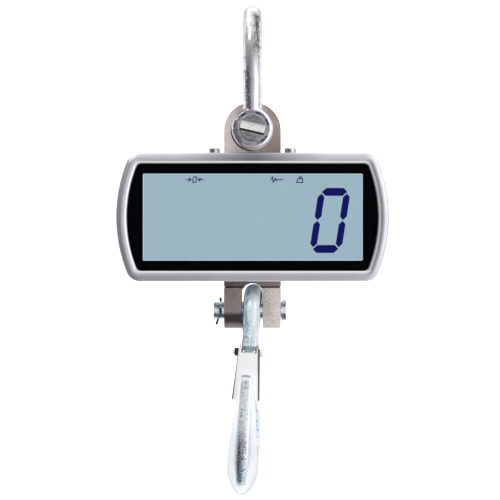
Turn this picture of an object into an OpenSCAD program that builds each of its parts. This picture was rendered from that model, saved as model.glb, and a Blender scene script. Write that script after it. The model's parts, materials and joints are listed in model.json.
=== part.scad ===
// Hanging crane scale: bow shackle and screw pin, load cell, sealed case with a large
// numeric display, and a forged eye hook with a spring latch on a clevis pin.
// Millimetres. The origin is at the crown inside the shackle, where the crane hook
// bears. +Z is up, +X is to the viewer's right and the display faces -Y.

/* [Shackle] */
// Diameter of the forged bar
bar_d = 16; // [15:0.5:17]
// Inside radius of the bow at its crown
bow_inner_r = 22; // [20:1:25]
// Distance from the inside of the crown down to the pin
crown_to_pin = 91.3; // [89:0.1:96]
// Centreline radius of the bends between the bow and its straight legs
bow_neck_r = 40; // [36:1:44]
// Free width between the two eyes
eye_gap = 26; // [25.5:0.5:27]
// Outer radius of each eye
eye_r = 17; // [16.5:0.1:18]
// Diameter of the shackle pin
shackle_pin_d = 18; // [16:0.5:19]
// Diameter of the slotted pin head
pin_head_d = 23; // [21:0.5:26]
// Height of the slotted pin head
pin_head_t = 4.5; // [4:0.1:6]
// Width of the slot across the pin head
pin_slot_w = 8.6; // [4:0.1:10]
// Angle by which the slot dips to the right
pin_slot_tilt = 13; // [0:1:45]

/* [Load cell] */
// Width of the load cell, its top lug and its bottom clevis
cell_w = 48; // [46:0.5:50]
// Thickness of the load cell column and the clevis, front to back
cell_t = 30.4; // [29:0.2:31.6]
// Thickness of the top lug, front to back
lug_t = 24; // [22:0.5:25]
// Distance from the shackle pin down to the hook pin
pin_to_pin = 152.9; // [150:0.1:156]
// Width of the clevis slot
clevis_slot_w = 17.6; // [17.4:0.1:19]
// Height of the groove round the clevis
clevis_groove_h = 1.1; // [0.8:0.1:1.6]

/* [Case] */
// Width of the case across its bulged sides
case_w = 224.6; // [222:0.2:230]
// Height of the case
case_h = 106; // [104:0.5:110]
// Depth of the case, front to back
case_d = 76; // [75:0.5:80]
// Distance from the shackle pin down to the top of the case
pin_to_case = 21.1; // [20:0.1:23]
// Radius of the bulge of each side
side_r = 123; // [115:1:140]
// Radius of the case corners
corner_r = 12; // [10:0.5:14]
// Wall thickness of the castings
wall = 3; // [2.6:0.1:3.4]
// Depth of the front bezel casting
bezel_d = 12; // [11:0.5:14]
// Width of the bezel rim round the glass
rim_w = 8.7; // [8:0.1:10]

/* [Display] */
// Thickness of the front glass
glass_t = 3; // [2.4:0.1:3.2]
// Depth of the glass below the front edge of the rim
glass_inset = 1; // [0.6:0.1:1.2]
// Width of the liquid crystal panel
lcd_w = 184; // [182:1:186]
// Height of the liquid crystal panel
lcd_h = 74; // [72:0.5:75]

/* [Hook] */
// Diameter of the hook pin
hook_pin_d = 15; // [14:0.5:15.4]
// Diameter of the hook pin's head
hook_pin_head_d = 18.2; // [17:0.1:22]
// Diameter of the bar round the hook's eye
hook_eye_bar_d = 14.6; // [14:0.1:14.8]
// Centreline radius of the hook's eye
hook_eye_r = 16; // [15.8:0.1:16.6]
// Angle by which the hook leans in the clevis at rest
hook_lean = 3.3; // [0:0.1:3.4]
// Angle by which the hook is turned in the clevis at rest
hook_turn = 2.9; // [0:0.1:3]
// Angle by which the hook hangs towards the front, so that its weight is under the pin
hook_hang = 2; // [0:0.1:6]
// Distance from the hook pin down to the centre of the bowl
bowl_drop = 107.7; // [104:0.1:110]
// Inside radius of the bowl
bowl_r = 26; // [25:0.5:27]
// Length of the latch below its bolt
latch_len = 40; // [38:0.5:41]
// Thickness of the latch's sheet
latch_t = 1.2; // [1:0.1:1.4]

/* [Battery] */
// Number of round cells in the holder
cell_count = 4; // [2:1:4]
// Diameter of one round cell
round_cell_d = 14.5; // [14:0.1:14.6]
// Length of one round cell
round_cell_len = 50; // [48:0.5:50.5]

/* [Hidden] */

fine = 96;
medium = 48;
coarse = 24;
// Overlap that keeps a cutter from ending exactly on a face
over = 1;
// Radial clearance of a pin in its own bore
running_fit = 0.08;
// Added to a screw's diameter where it is threaded in, and where it passes through
tap_fit = 0.1;
pass_fit = 0.4;

// Levels, measured down from the crown
pin_z = -crown_to_pin;
hook_pin_z = pin_z - pin_to_pin;
case_top_z = pin_z - pin_to_case;
case_z = case_top_z - case_h / 2;
case_bottom_z = case_top_z - case_h;
front_y = -case_d / 2;
back_y = case_d / 2;
bezel_back_y = front_y + bezel_d;
inner_back_y = back_y - wall;

// ---------------------------------------------------------------- shared shapes

// Cylinder along Y from y0 to y1
module rod_y(d, y0, y1, sides = medium) {
    translate([0, y0, 0]) rotate([-90, 0, 0]) cylinder(d = d, h = y1 - y0, $fn = sides);
}

// Cylinder along X from x0 to x1
module rod_x(d, x0, x1, sides = medium) {
    translate([x0, 0, 0]) rotate([0, 90, 0]) cylinder(d = d, h = x1 - x0, $fn = sides);
}

// Box from one corner to the other
module box(low, high) {
    translate(low) cube(high - low);
}

// Box centred on x and z, from y0 to y1
module plate_y(w, h, y0, y1) {
    translate([-w / 2, y0, -h / 2]) cube([w, y1 - y0, h]);
}

// The children, and their mirror image across x = 0
module both_sides() {
    for (side = [0, 1]) mirror([side, 0, 0]) children();
}

// Socket-cap screw pointing down -Z, with the underside of its head at z = 0
module cap_screw(thread_d, length, head_d, head_h, key_d) {
    difference() {
        union() {
            cylinder(d = head_d, h = head_h, $fn = medium);
            translate([0, 0, -length]) cylinder(d = thread_d, h = length + over / 2, $fn = coarse);
        }
        translate([0, 0, head_h / 2]) cylinder(d = key_d, h = head_h, $fn = 6);
    }
}

// Closed skin over a list of rings that all have the same number of points
module loft(rings) {
    n = len(rings[0]);
    last = len(rings) - 1;
    points = [for (ring = rings, p = ring) p];
    sides = [
        for (r = [0:last - 1], i = [0:n - 1], half = [0, 1])
            let (j = (i + 1) % n)
                half == 0
                    ? [r * n + i, (r + 1) * n + j, (r + 1) * n + i]
                    : [r * n + i, r * n + j, (r + 1) * n + j]
    ];
    ends = [[for (i = [n - 1:-1:0]) i], [for (i = [0:n - 1]) last * n + i]];
    polyhedron(points = points, faces = concat(sides, ends), convexity = 6);
}

// ---------------------------------------------------------------- case outline

// Points along an arc
function arc(cx, cy, r, a0, a1, n) =
    [for (i = [0:n]) [cx + r * cos(a0 + (a1 - a0) * i / n), cy + r * sin(a0 + (a1 - a0) * i / n)]];

// Points of the case outline set inwards by a distance, with its own corner radius
function outline(inset, corner) =
    let (
        r = side_r - inset,
        half_h = case_h / 2 - inset,
        side_x = case_w / 2 - side_r,
        cz = half_h - corner,
        cx = side_x + sqrt(pow(r - corner, 2) - cz * cz),
        meet = atan2(cz, cx - side_x),
        quarter = concat(arc(side_x, 0, r, 0, meet, 8), tail(arc(cx, cz, corner, meet, 90, 8)))
    )
    concat(
        quarter,
        [for (i = [len(quarter) - 1:-1:0]) [-quarter[i][0], quarter[i][1]]],
        [for (i = [1:len(quarter) - 1]) [-quarter[i][0], -quarter[i][1]]],
        [for (i = [len(quarter) - 1:-1:1]) [quarter[i][0], -quarter[i][1]]]
    );

function tail(list) = [for (i = [1:len(list) - 1]) list[i]];

// Body of the case outline along +Y through stations [inset, y], so that its edges are rounded
module case_body(corner, profile) {
    loft([for (s = profile) [for (p = outline(s[0], corner - s[0])) [p[0], s[1], case_z + p[1]]]]);
}

// Stations of an edge of radius r rounded over a quarter turn, from its front face at y
function round_front(r, y) = [for (i = [0:5]) let (a = 18 * i) [r * (1 - sin(a)), y + r * (1 - cos(a))]];
// The same edge towards a back face at y
function round_back(r, y) = [for (i = [0:5]) let (a = 18 * i) [r * (1 - cos(a)), y - r * (1 - sin(a))]];

// Prism of the outline along Y from y0 to y1
module case_slab(inset, corner, y0, y1) {
    translate([0, y1, case_z])
        rotate([90, 0, 0])
            linear_extrude(y1 - y0) polygon(outline(inset, corner));
}

// ---------------------------------------------------------------- shackle

bow_r = bow_inner_r + bar_d / 2;
leg_y = (eye_gap + bar_d) / 2;
neck_y = leg_y + bow_neck_r;
crown_z = -bow_inner_r;
neck_z = crown_z - sqrt(pow(bow_r + bow_neck_r, 2) - neck_y * neck_y);
neck_angle = atan2(crown_z - neck_z, neck_y);
eye_t = bar_d - 0.8;
eye_edge = 2.4;
thread_d = 16;
bar_sides = 24;
leg_end_z = pin_z + 12.5;

// Centreline of the bow in the YZ plane as [y, z, direction], from the -Y eye to the +Y eye
function bow_half() = concat(
    [for (z = [leg_end_z, (leg_end_z + neck_z) / 2]) [-leg_y, z, 90]],
    [for (i = [0:6]) let (a = neck_angle * i / 6)
        [-neck_y + bow_neck_r * cos(a), neck_z + bow_neck_r * sin(a), 90 + a]],
    [for (i = [1:14]) let (a = 180 + neck_angle - (90 + neck_angle) * i / 14)
        [bow_r * cos(a), crown_z + bow_r * sin(a), a - 90]]
);
function bow_path() =
    let (half = bow_half())
    concat(half, [for (i = [len(half) - 2:-1:0]) [-half[i][0], half[i][1], -half[i][2]]]);

// Ring of the round bar square to its direction at one point of the path
function bar_ring(p) = [
    for (i = [0:bar_sides - 1])
        let (a = 360 * (i + 0.5) / bar_sides, u = bar_d / 2 * cos(a))
        [-bar_d / 2 * sin(a), p[0] - u * sin(p[2]), p[1] + u * cos(p[2])]
];

// Disc along Y with bevelled edges, centred on its own middle
module bevelled_disc_y(r, t, edge) {
    half = t / 2;
    rotate([90, 0, 0])
        rotate_extrude($fn = fine)
            polygon([
                [0, -half], [r - edge, -half], [r - edge / 4, -half + edge / 3], [r, -half + edge],
                [r, half - edge], [r - edge / 4, half - edge / 3], [r - edge, half], [0, half]
            ]);
}

module shackle_bow() {
    color("silver")
        difference() {
            union() {
                loft([for (p = bow_path()) bar_ring(p)]);
                for (y = [-leg_y, leg_y])
                    translate([0, y, pin_z]) bevelled_disc_y(eye_r, eye_t, eye_edge);
            }
            translate([0, 0, pin_z])
                rod_y(shackle_pin_d + 2 * running_fit, -leg_y - bar_d, leg_y - bar_d / 2 + over);
            translate([0, 0, pin_z]) rod_y(thread_d + 2 * running_fit, 0, leg_y + bar_d);
        }
}

module shackle_pin() {
    head_y = -leg_y - eye_t / 2;
    shoulder_y = leg_y - bar_d / 2 + over / 2;
    end_y = leg_y + bar_d / 2 + 2;
    edge = 1;
    color("slategray")
        translate([0, 0, pin_z])
            difference() {
                union() {
                    rotate([90, 0, 0])
                        rotate_extrude($fn = fine)
                            polygon([
                                [0, -head_y + pin_head_t], [pin_head_d / 2 - edge, -head_y + pin_head_t],
                                [pin_head_d / 2, -head_y + pin_head_t - edge], [pin_head_d / 2, -head_y],
                                [shackle_pin_d / 2, -head_y], [shackle_pin_d / 2, -shoulder_y],
                                [thread_d / 2, -shoulder_y], [thread_d / 2, edge - end_y],
                                [thread_d / 2 - edge, -end_y], [0, -end_y]
                            ]);
                }
                rotate([0, pin_slot_tilt, 0])
                    translate([0, head_y - pin_head_t, 0])
                        cube([2 * pin_head_d, 2 * (pin_head_t - edge), pin_slot_w], center = true);
            }
}

// ---------------------------------------------------------------- load cell

groove_depth = 1.5;
groove_top_z = case_bottom_z - 4.8;
slot_top_z = case_bottom_z - 2.2;
// Where the full thickness of the cell begins, just under the roof of the case
cell_shoulder_z = case_top_z - wall - 0.4;
pocket_w = 26;
pocket_h = 36;
pocket_d = 8;
pocket_z = case_z - 12;
gauge_cover_t = 1.2;
gauge_cover_w = 34;
gauge_cover_h = 44;
gauge_screw_x = 15;
gauge_screw_z = 20;
gauge_screw_d = 2.5;
gauge_screw_len = 5;
bracket_screw_d = 5;
bracket_screw_zs = [case_top_z - 18, case_top_z - 34];
bracket_screw_depth = 12;
cable_d = 4;
cable_y = -11;
cable_z = pocket_z - 8;

module load_cell() {
    ear_r = cell_t / 2;
    slot_r = clevis_slot_w / 2;
    color("rosybrown")
        difference() {
            union() {
                translate([0, 0, pin_z]) rod_y(cell_w, -lug_t / 2, lug_t / 2, fine);
                box([-cell_w / 2, -lug_t / 2, cell_shoulder_z - over], [cell_w / 2, lug_t / 2, pin_z]);
                box([-cell_w / 2, -cell_t / 2, hook_pin_z], [cell_w / 2, cell_t / 2, cell_shoulder_z]);
                translate([0, 0, hook_pin_z]) rod_x(2 * ear_r, -cell_w / 2, cell_w / 2, fine);
            }
            translate([0, 0, pin_z])
                rod_y(shackle_pin_d + 2 * running_fit, -lug_t, lug_t);
            translate([0, 0, slot_top_z - slot_r]) {
                rod_y(clevis_slot_w, -cell_t, cell_t);
                box([-slot_r, -cell_t, -case_h], [slot_r, cell_t, 0]);
            }
            translate([0, 0, hook_pin_z])
                rod_x(hook_pin_d + 2 * running_fit, -cell_w, cell_w);
            clevis_groove();
            for (side = [0, 1]) mirror([0, side, 0])
                translate([0, 0, pocket_z]) plate_y(pocket_w, pocket_h, -cell_t, pocket_d - cell_t / 2);
            for (side = [0, 1], x = [-gauge_screw_x, gauge_screw_x], z = [-gauge_screw_z, gauge_screw_z])
                mirror([0, side, 0])
                    translate([x, 0, pocket_z + z])
                        rod_y(gauge_screw_d + tap_fit, -cell_t, gauge_screw_len - cell_t / 2, coarse);
            for (side = [-1, 1], z = bracket_screw_zs)
                translate([side * cell_w / 2, 0, z])
                    rod_x(bracket_screw_d + tap_fit, -bracket_screw_depth, bracket_screw_depth, coarse);
            translate([0, cable_y, cable_z]) rod_x(cable_d + 0.6, 0, cell_w, coarse);
        }
}

// Ring of material cut away to leave the groove round the clevis
module clevis_groove() {
    reach = cell_w;
    difference() {
        box([-reach, -reach, groove_top_z - clevis_groove_h], [reach, reach, groove_top_z]);
        box([groove_depth - cell_w / 2, groove_depth - cell_t / 2, groove_top_z - 2 * clevis_groove_h],
            [cell_w / 2 - groove_depth, cell_t / 2 - groove_depth, groove_top_z + clevis_groove_h]);
    }
}

module strain_gauges() {
    gauge_w = 7;
    gauge_h = 12;
    gauge_t = 0.3;
    gauge_x = 6;
    web_y = cell_t / 2 - pocket_d;
    color("darkorange")
        for (side = [0, 1], x = [-gauge_x, gauge_x])
            mirror([0, side, 0])
                translate([x, 0, pocket_z]) plate_y(gauge_w, gauge_h, -web_y - gauge_t, -web_y);
}

module gauge_covers() {
    color("gainsboro")
        for (side = [0, 1]) mirror([0, side, 0])
            translate([0, 0, pocket_z])
                difference() {
                    plate_y(gauge_cover_w, gauge_cover_h, -cell_t / 2 - gauge_cover_t, -cell_t / 2);
                    for (x = [-gauge_screw_x, gauge_screw_x], z = [-gauge_screw_z, gauge_screw_z])
                        translate([x, 0, z]) rod_y(gauge_screw_d + pass_fit, -cell_t, 0, coarse);
                }
}

module gauge_cover_screws() {
    color("dimgray")
        for (side = [0, 1], x = [-gauge_screw_x, gauge_screw_x], z = [-gauge_screw_z, gauge_screw_z])
            mirror([0, side, 0])
                translate([x, -cell_t / 2 - gauge_cover_t, pocket_z + z])
                    rotate([90, 0, 0]) cap_screw(gauge_screw_d, gauge_screw_len, 4.5, 2.2, 2);
}

// Where the cable and the ribbon meet the main board
main_board_y = 22;
main_board_t = 1.6;
main_board_x = 67;
main_board_w = 60;
main_board_h = 60;
cable_turn_x = 52;
// Front of the plug that the load cell's cable ends in
cable_plug_y = main_board_y - 8;

module cell_cable() {
    color("dimgray")
        translate([0, 0, cable_z]) {
            translate([0, cable_y, 0]) rod_x(cable_d, pocket_w / 2 - 3, cable_turn_x, coarse);
            translate([cable_turn_x, cable_y, 0]) sphere(d = cable_d, $fn = coarse);
            translate([cable_turn_x, 0, 0]) rod_y(cable_d, cable_y, cable_plug_y, coarse);
        }
}

// ---------------------------------------------------------------- case mounting

cap_screw_x = 32.6;
cap_screw_d = 6;
cap_head_d = 10;
cap_head_h = 6;
cap_screw_len = 11;
washer_t = 1.1;
bracket_t = 5;
bracket_reach = 42;
bracket_w = 24;
bracket_h = 42;

module case_brackets() {
    under_roof_z = case_top_z - wall;
    color("lightgray")
        both_sides()
            difference() {
                union() {
                    box([cell_w / 2, -bracket_w / 2, under_roof_z - bracket_t],
                        [bracket_reach, bracket_w / 2, under_roof_z]);
                    box([cell_w / 2, -bracket_w / 2, case_top_z - bracket_h],
                        [cell_w / 2 + bracket_t, bracket_w / 2, under_roof_z - bracket_t / 2]);
                }
                translate([cap_screw_x, 0, under_roof_z - 2 * bracket_t])
                    cylinder(d = cap_screw_d + tap_fit, h = 4 * bracket_t, $fn = medium);
                for (z = bracket_screw_zs)
                    translate([0, 0, z]) rod_x(bracket_screw_d + pass_fit, 0, bracket_reach, coarse);
            }
}

module bracket_screws() {
    color("dimgray")
        both_sides()
            for (z = bracket_screw_zs)
                translate([cell_w / 2 + bracket_t, 0, z])
                    rotate([0, 90, 0])
                        cap_screw(bracket_screw_d, bracket_t + bracket_screw_depth - 2, 8.5, 5, 4);
}

module case_cap_screws() {
    color("dimgray")
        both_sides()
            translate([cap_screw_x, 0, case_top_z + washer_t])
                cap_screw(cap_screw_d, cap_screw_len, cap_head_d, cap_head_h, 5);
}

module cap_screw_washers() {
    color("silver")
        both_sides()
            translate([cap_screw_x, 0, case_top_z])
                difference() {
                    cylinder(d = cap_head_d, h = washer_t, $fn = medium);
                    translate([0, 0, -over]) cylinder(d = cap_screw_d + pass_fit, h = 3 * over, $fn = medium);
                }
}

// Free width of the openings in the case round the cell
seal_gap = 1.6;
seal_lip = 1.6;
seal_lip_h = 1.5;

// Rubber collar between the cell and an opening of the case: width w through depth t
module collar(w, t, z0, z1, lip_z0, lip_z1) {
    difference() {
        union() {
            box([-w / 2 - seal_gap, -t / 2 - seal_gap, z0], [w / 2 + seal_gap, t / 2 + seal_gap, z1]);
            box([-w / 2 - seal_gap - seal_lip, -t / 2 - seal_gap - seal_lip, lip_z0],
                [w / 2 + seal_gap + seal_lip, t / 2 + seal_gap + seal_lip, lip_z1]);
        }
        box([-w / 2, -t / 2, z0 - 2 * case_h], [w / 2, t / 2, z1 + 2 * case_h]);
    }
}

module top_seal() {
    color("black")
        collar(cell_w, lug_t, case_top_z - wall, case_top_z + over / 2,
               case_top_z, case_top_z + seal_lip_h);
}

module bottom_seal() {
    color("black")
        collar(cell_w, cell_t, case_bottom_z + over / 4, case_bottom_z + wall + over / 2,
               case_bottom_z + wall, case_bottom_z + wall + seal_lip_h);
}

// ---------------------------------------------------------------- case

glass_front_y = front_y + glass_inset;
glass_back_y = glass_front_y + glass_t;
glass_corner = 4.6;
glass_fit = 0.3;
seal_t = 0.6;
ledge_y = glass_back_y + seal_t;
window_w = 189;
window_h = 76;
screw_d = 4;
screw_head_d = 7;
screw_head_h = 4;
screw_sink = 4.4;
screw_depth = 5;
boss_d = 11.6;
screw_places = [for (x = [-95.5, 95.5], z = [-43, 43]) [x, z], [-103.4, 0], [103.4, 0]];
battery_x = -60;
battery_bay_w = 62;
battery_bay_h = 68;
cover_w = 76;
cover_h = 76;
cover_t = 3;
cover_seal_t = 0.8;
cover_screw_x = 34.5;
cover_screw_d = 4;
button_x = 67;
button_z = case_bottom_z + 12;
button_hole_d = 16;
display_screw_places = [for (x = [-80, 80], z = [-41.4, 41.4]) [x, z]];
display_screw_d = 2.5;

module front_bezel() {
    edge = 2;
    color("lightsteelblue")
        difference() {
            case_body(corner_r, concat(round_front(edge, front_y), [[0, bezel_back_y]]));
            case_slab(rim_w - glass_fit, glass_corner + glass_fit, front_y - over, ledge_y);
            rim_chamfer();
            translate([0, 0, case_z]) plate_y(window_w, window_h, ledge_y - over, bezel_back_y + over);
            for (p = screw_places)
                translate([p[0], 0, case_z + p[1]])
                    rod_y(screw_d + tap_fit, bezel_back_y - screw_depth - over, back_y, coarse);
            for (p = display_screw_places)
                translate([p[0], 0, case_z + p[1]])
                    rod_y(display_screw_d + tap_fit, bezel_back_y - 5, back_y, coarse);
        }
}

// Cutter for the bright bevel that runs round the glass
module rim_chamfer() {
    deep = glass_inset - 0.1;
    wide = 1.6;
    loft([
        for (s = [[rim_w - wide - glass_fit, -over / 2], [rim_w, deep]])
            [for (p = outline(s[0], glass_corner + wide)) [p[0], front_y + s[1], case_z + p[1]]]
    ]);
}

gasket_t = 0.8;
gasket_w = 1.6;
housing_front_y = bezel_back_y + gasket_t;

module rear_housing() {
    edge = 4;
    color("lightsteelblue")
        difference() {
            union() {
                difference() {
                    case_body(corner_r, concat([[0, housing_front_y]], round_back(edge, back_y)));
                    case_slab(wall, corner_r - wall, front_y, inner_back_y);
                }
                for (p = screw_places)
                    translate([p[0], 0, case_z + p[1]])
                        rod_y(boss_d, housing_front_y, inner_back_y + over / 2, medium);
            }
            for (p = screw_places)
                translate([p[0], 0, case_z + p[1]]) {
                    rod_y(screw_d + 0.6, front_y, back_y, coarse);
                    rod_y(screw_head_d + 0.8, back_y - screw_sink, back_y + over, medium);
                }
            cell_openings();
            for (x = [-cap_screw_x, cap_screw_x])
                translate([x, 0, case_top_z - 2 * wall])
                    cylinder(d = cap_screw_d + 0.6, h = 3 * wall, $fn = medium);
            translate([battery_x, 0, case_z]) {
                plate_y(battery_bay_w, battery_bay_h, inner_back_y - over, back_y + over);
                for (x = [-cover_screw_x, cover_screw_x])
                    translate([x, 0, 0]) rod_y(cover_screw_d + tap_fit, 0, back_y + over, coarse);
            }
            translate([button_x, 0, button_z])
                rod_y(button_hole_d + pass_fit, inner_back_y - over, back_y + over);
            translate([plate_x, 0, plate_z])
                for (x = [-plate_rivet_x, plate_rivet_x])
                    translate([x, 0, 0]) rod_y(rivet_d + tap_fit, inner_back_y - over, back_y + over, coarse);
        }
}

// Openings in the roof and the floor of the case that the load cell passes through
module cell_openings() {
    half_x = cell_w / 2 + seal_gap;
    top_y = lug_t / 2 + seal_gap;
    bottom_y = cell_t / 2 + seal_gap;
    box([-half_x, -top_y, case_z], [half_x, top_y, case_top_z + over]);
    box([-half_x, -bottom_y, case_bottom_z - over], [half_x, bottom_y, case_z]);
}

module housing_gasket() {
    middle = wall / 2;
    color("black")
        difference() {
            case_slab(middle - gasket_w / 2, corner_r - middle + gasket_w / 2,
                      bezel_back_y, housing_front_y);
            case_slab(middle + gasket_w / 2, corner_r - middle - gasket_w / 2,
                      bezel_back_y - over, housing_front_y + over);
        }
}

module housing_screws() {
    length = back_y - screw_sink - bezel_back_y + screw_depth;
    color("dimgray")
        for (p = screw_places)
            translate([p[0], back_y - screw_sink, case_z + p[1]])
                rotate([-90, 0, 0]) cap_screw(screw_d, length, screw_head_d, screw_head_h, 3.4);
}

// ---------------------------------------------------------------- display

module display_glass() {
    color([0.03, 0.03, 0.04])
        case_slab(rim_w, glass_corner, glass_front_y, glass_back_y);
}

module glass_seal() {
    color("black")
        difference() {
            case_slab(rim_w + glass_fit, glass_corner, glass_back_y, ledge_y);
            translate([0, 0, case_z]) plate_y(window_w, window_h, glass_back_y - over, ledge_y + over);
        }
}

lcd_front_y = glass_back_y + 0.2;
lcd_t = 2.8;
lcd_back_y = lcd_front_y + lcd_t;
backlight_t = 3;
backlight_h = 64;
display_board_t = 1.6;

module lcd_panel() {
    color("lightslategray")
        translate([0, 0, case_z]) plate_y(lcd_w, lcd_h, lcd_front_y, lcd_back_y);
}

module lcd_backlight() {
    color("white")
        translate([0, 0, case_z]) plate_y(lcd_w - 4, backlight_h, lcd_back_y, lcd_back_y + backlight_t);
}

module zebra_strips() {
    strip_h = 2.4;
    strip_w = 160;
    color("pink")
        for (z = [-1, 1])
            translate([0, 0, case_z + z * (backlight_h / 2 + 0.4 + strip_h / 2)])
                plate_y(strip_w, strip_h, lcd_back_y, bezel_back_y);
}

module display_board() {
    board_w = 172;
    board_h = 88;
    color("darkgreen")
        translate([0, 0, case_z])
            difference() {
                plate_y(board_w, board_h, bezel_back_y, bezel_back_y + display_board_t);
                for (p = display_screw_places)
                    translate([p[0], 0, p[1]]) rod_y(display_screw_d + pass_fit, front_y, 0, coarse);
            }
}

module display_board_screws() {
    color("silver")
        for (p = display_screw_places)
            translate([p[0], bezel_back_y + display_board_t, case_z + p[1]])
                rotate([-90, 0, 0]) cap_screw(display_screw_d, display_board_t + 4, 4.5, 2, 2);
}

ribbon_x = 72;
ribbon_w = 16;
ribbon_t = 0.8;
ribbon_z = case_z + 20;
connector_h = 6;
plug_w = 8;
plug_h = 6;

module ribbon_cable() {
    y0 = bezel_back_y + display_board_t + connector_h / 2;
    y1 = main_board_y - connector_h / 2;
    r = (y1 - y0) / 2;
    color("lightgray")
        translate([ribbon_x, (y0 + y1) / 2, ribbon_z])
            rotate([90, 0, 90])
                translate([0, 0, -ribbon_w / 2])
                    rotate([0, 0, 180])
                        rotate_extrude(angle = 180, $fn = fine)
                            translate([r - ribbon_t / 2, 0]) square([ribbon_t, ribbon_w]);
}

// ---------------------------------------------------------------- electronics

spacer_d = 6;
board_screw_d = 3;
main_board_z = case_z + 6;
board_places = [for (x = [-26, 26], z = [-25, 25]) [main_board_x + x, main_board_z + z]];

module main_board() {
    color("seagreen")
        difference() {
            translate([main_board_x, 0, main_board_z])
                plate_y(main_board_w, main_board_h, main_board_y, main_board_y + main_board_t);
            for (p = board_places)
                translate([p[0], 0, p[1]]) rod_y(board_screw_d + pass_fit, 0, back_y, coarse);
        }
}

module board_spacers() {
    color("goldenrod")
        for (p = board_places)
            translate([p[0], 0, p[1]])
                difference() {
                    rod_y(spacer_d, main_board_y + main_board_t, inner_back_y, coarse);
                    rod_y(board_screw_d + tap_fit, 0, inner_back_y - 2, coarse);
                }
}

module board_screws() {
    color("silver")
        for (p = board_places)
            translate([p[0], main_board_y, p[1]])
                rotate([90, 0, 0]) cap_screw(board_screw_d, 8, 5.5, 2.4, 2.4);
}

module buzzer() {
    buzzer_d = 12;
    buzzer_t = 8;
    from_centre = 14;
    color("black")
        translate([main_board_x + from_centre, 0, main_board_z - from_centre])
            difference() {
                rod_y(buzzer_d, main_board_y - buzzer_t, main_board_y);
                rod_y(2, front_y, main_board_y - buzzer_t + 2, coarse);
            }
}

module board_connectors() {
    color("ivory") {
        translate([ribbon_x, 0, ribbon_z + plug_h / 2])
            for (y = [main_board_y - connector_h, bezel_back_y + display_board_t])
                plate_y(ribbon_w + 4, plug_h, y, y + connector_h);
        translate([cable_turn_x, 0, cable_z]) plate_y(plug_w, plug_w, cable_plug_y, main_board_y);
        translate([button_x, 0, button_lead_top_z])
            plate_y(plug_w, plug_h, main_board_y - connector_h, main_board_y);
        translate([battery_plug_x, 0, battery_lead_z])
            plate_y(plug_w, plug_w, main_board_y - connector_h, main_board_y);
    }
}

// ---------------------------------------------------------------- battery

holder_front_y = 15.4;
holder_wall = 1.6;
holder_h = 66;
holder_w = 60;
cell_pitch = 15.6;
cell_y = 25.4;
cell_zs = [for (i = [0:cell_count - 1]) case_z + (i - (cell_count - 1) / 2) * cell_pitch];
battery_lead_z = case_z + 22;
battery_plug_x = 42;

module battery_holder() {
    color([0.12, 0.12, 0.13])
        translate([battery_x, 0, case_z])
            difference() {
                plate_y(holder_w, holder_h, holder_front_y, inner_back_y);
                plate_y(holder_w - 2 * holder_wall, holder_h - 2 * holder_wall,
                        holder_front_y + holder_wall, back_y);
            }
}

module battery_cells() {
    tip_d = 5;
    tip_h = 1;
    color("steelblue")
        for (z = cell_zs)
            translate([battery_x - round_cell_len / 2 - 1, cell_y, z]) {
                rod_x(round_cell_d, 0, round_cell_len, medium);
                rod_x(tip_d, round_cell_len - over, round_cell_len + tip_h, coarse);
            }
}

module battery_springs() {
    color("silver")
        for (z = cell_zs)
            translate([battery_x - holder_w / 2 + holder_wall, cell_y, z])
                rotate([0, 90, 0])
                    difference() {
                        cylinder(d1 = 9, d2 = 5, h = battery_gap, $fn = coarse);
                        translate([0, 0, -over]) cylinder(d = 3, h = battery_gap + 2 * over, $fn = coarse);
                    }
}

// Space between the holder's wall and the flat end of a cell
battery_gap = (holder_w - 2 * holder_wall) / 2 - round_cell_len / 2 - 1;

module battery_lead() {
    lead_d = 3;
    lead_y = main_board_y - connector_h / 2;
    x0 = battery_x + holder_w / 2;
    color("firebrick")
        translate([0, lead_y, battery_lead_z]) rod_x(lead_d, x0, battery_plug_x - 4, coarse);
}

module battery_cover() {
    edge = 1.2;
    y0 = back_y + cover_seal_t;
    color("lightsteelblue")
        translate([battery_x, 0, case_z])
            difference() {
                union() {
                    plate_y(cover_w, cover_h, y0, y0 + cover_t - edge);
                    plate_y(cover_w - edge, cover_h - edge, y0 + edge, y0 + cover_t - edge / 3);
                    plate_y(cover_w - 2 * edge, cover_h - 2 * edge, y0 + edge, y0 + cover_t);
                    plate_y(battery_bay_w - 1.2, battery_bay_h - 1.2, inner_back_y + 0.4, y0 + edge);
                }
                plate_y(battery_bay_w - 5, battery_bay_h - 5, front_y, y0);
                for (x = [-cover_screw_x, cover_screw_x])
                    translate([x, 0, 0]) rod_y(cover_screw_d + pass_fit, 0, back_y + 2 * cover_t, coarse);
            }
}

module battery_cover_seal() {
    color("black")
        translate([battery_x, 0, case_z])
            difference() {
                plate_y(battery_bay_w + 2.4, battery_bay_h + 2.4, back_y, back_y + cover_seal_t);
                plate_y(battery_bay_w + 0.2, battery_bay_h + 0.2, back_y - over, back_y + over);
            }
}

module battery_cover_screws() {
    head_d = 6.6;
    head_h = 4;
    head_y = back_y + cover_seal_t + cover_t;
    color("silver")
        for (x = [-cover_screw_x, cover_screw_x])
            translate([battery_x + x, head_y, case_z])
                rotate([-90, 0, 0])
                    difference() {
                        union() {
                            cylinder(d = head_d, h = head_h, $fn = medium);
                            translate([0, 0, -10]) cylinder(d = cover_screw_d, h = 10.5, $fn = coarse);
                        }
                        translate([0, 0, head_h]) cube([2 * head_d, 1.4, 2.4], center = true);
                    }
}

// ---------------------------------------------------------------- power button

button_cap_d = 11;
button_rim_d = 19;
button_rim_t = 1.6;
button_floor_y = inner_back_y - 6;
button_cap_y = back_y - 3;
button_proud = 1.4;
button_lead_top_z = main_board_z - main_board_h / 2 + 4;

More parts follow.
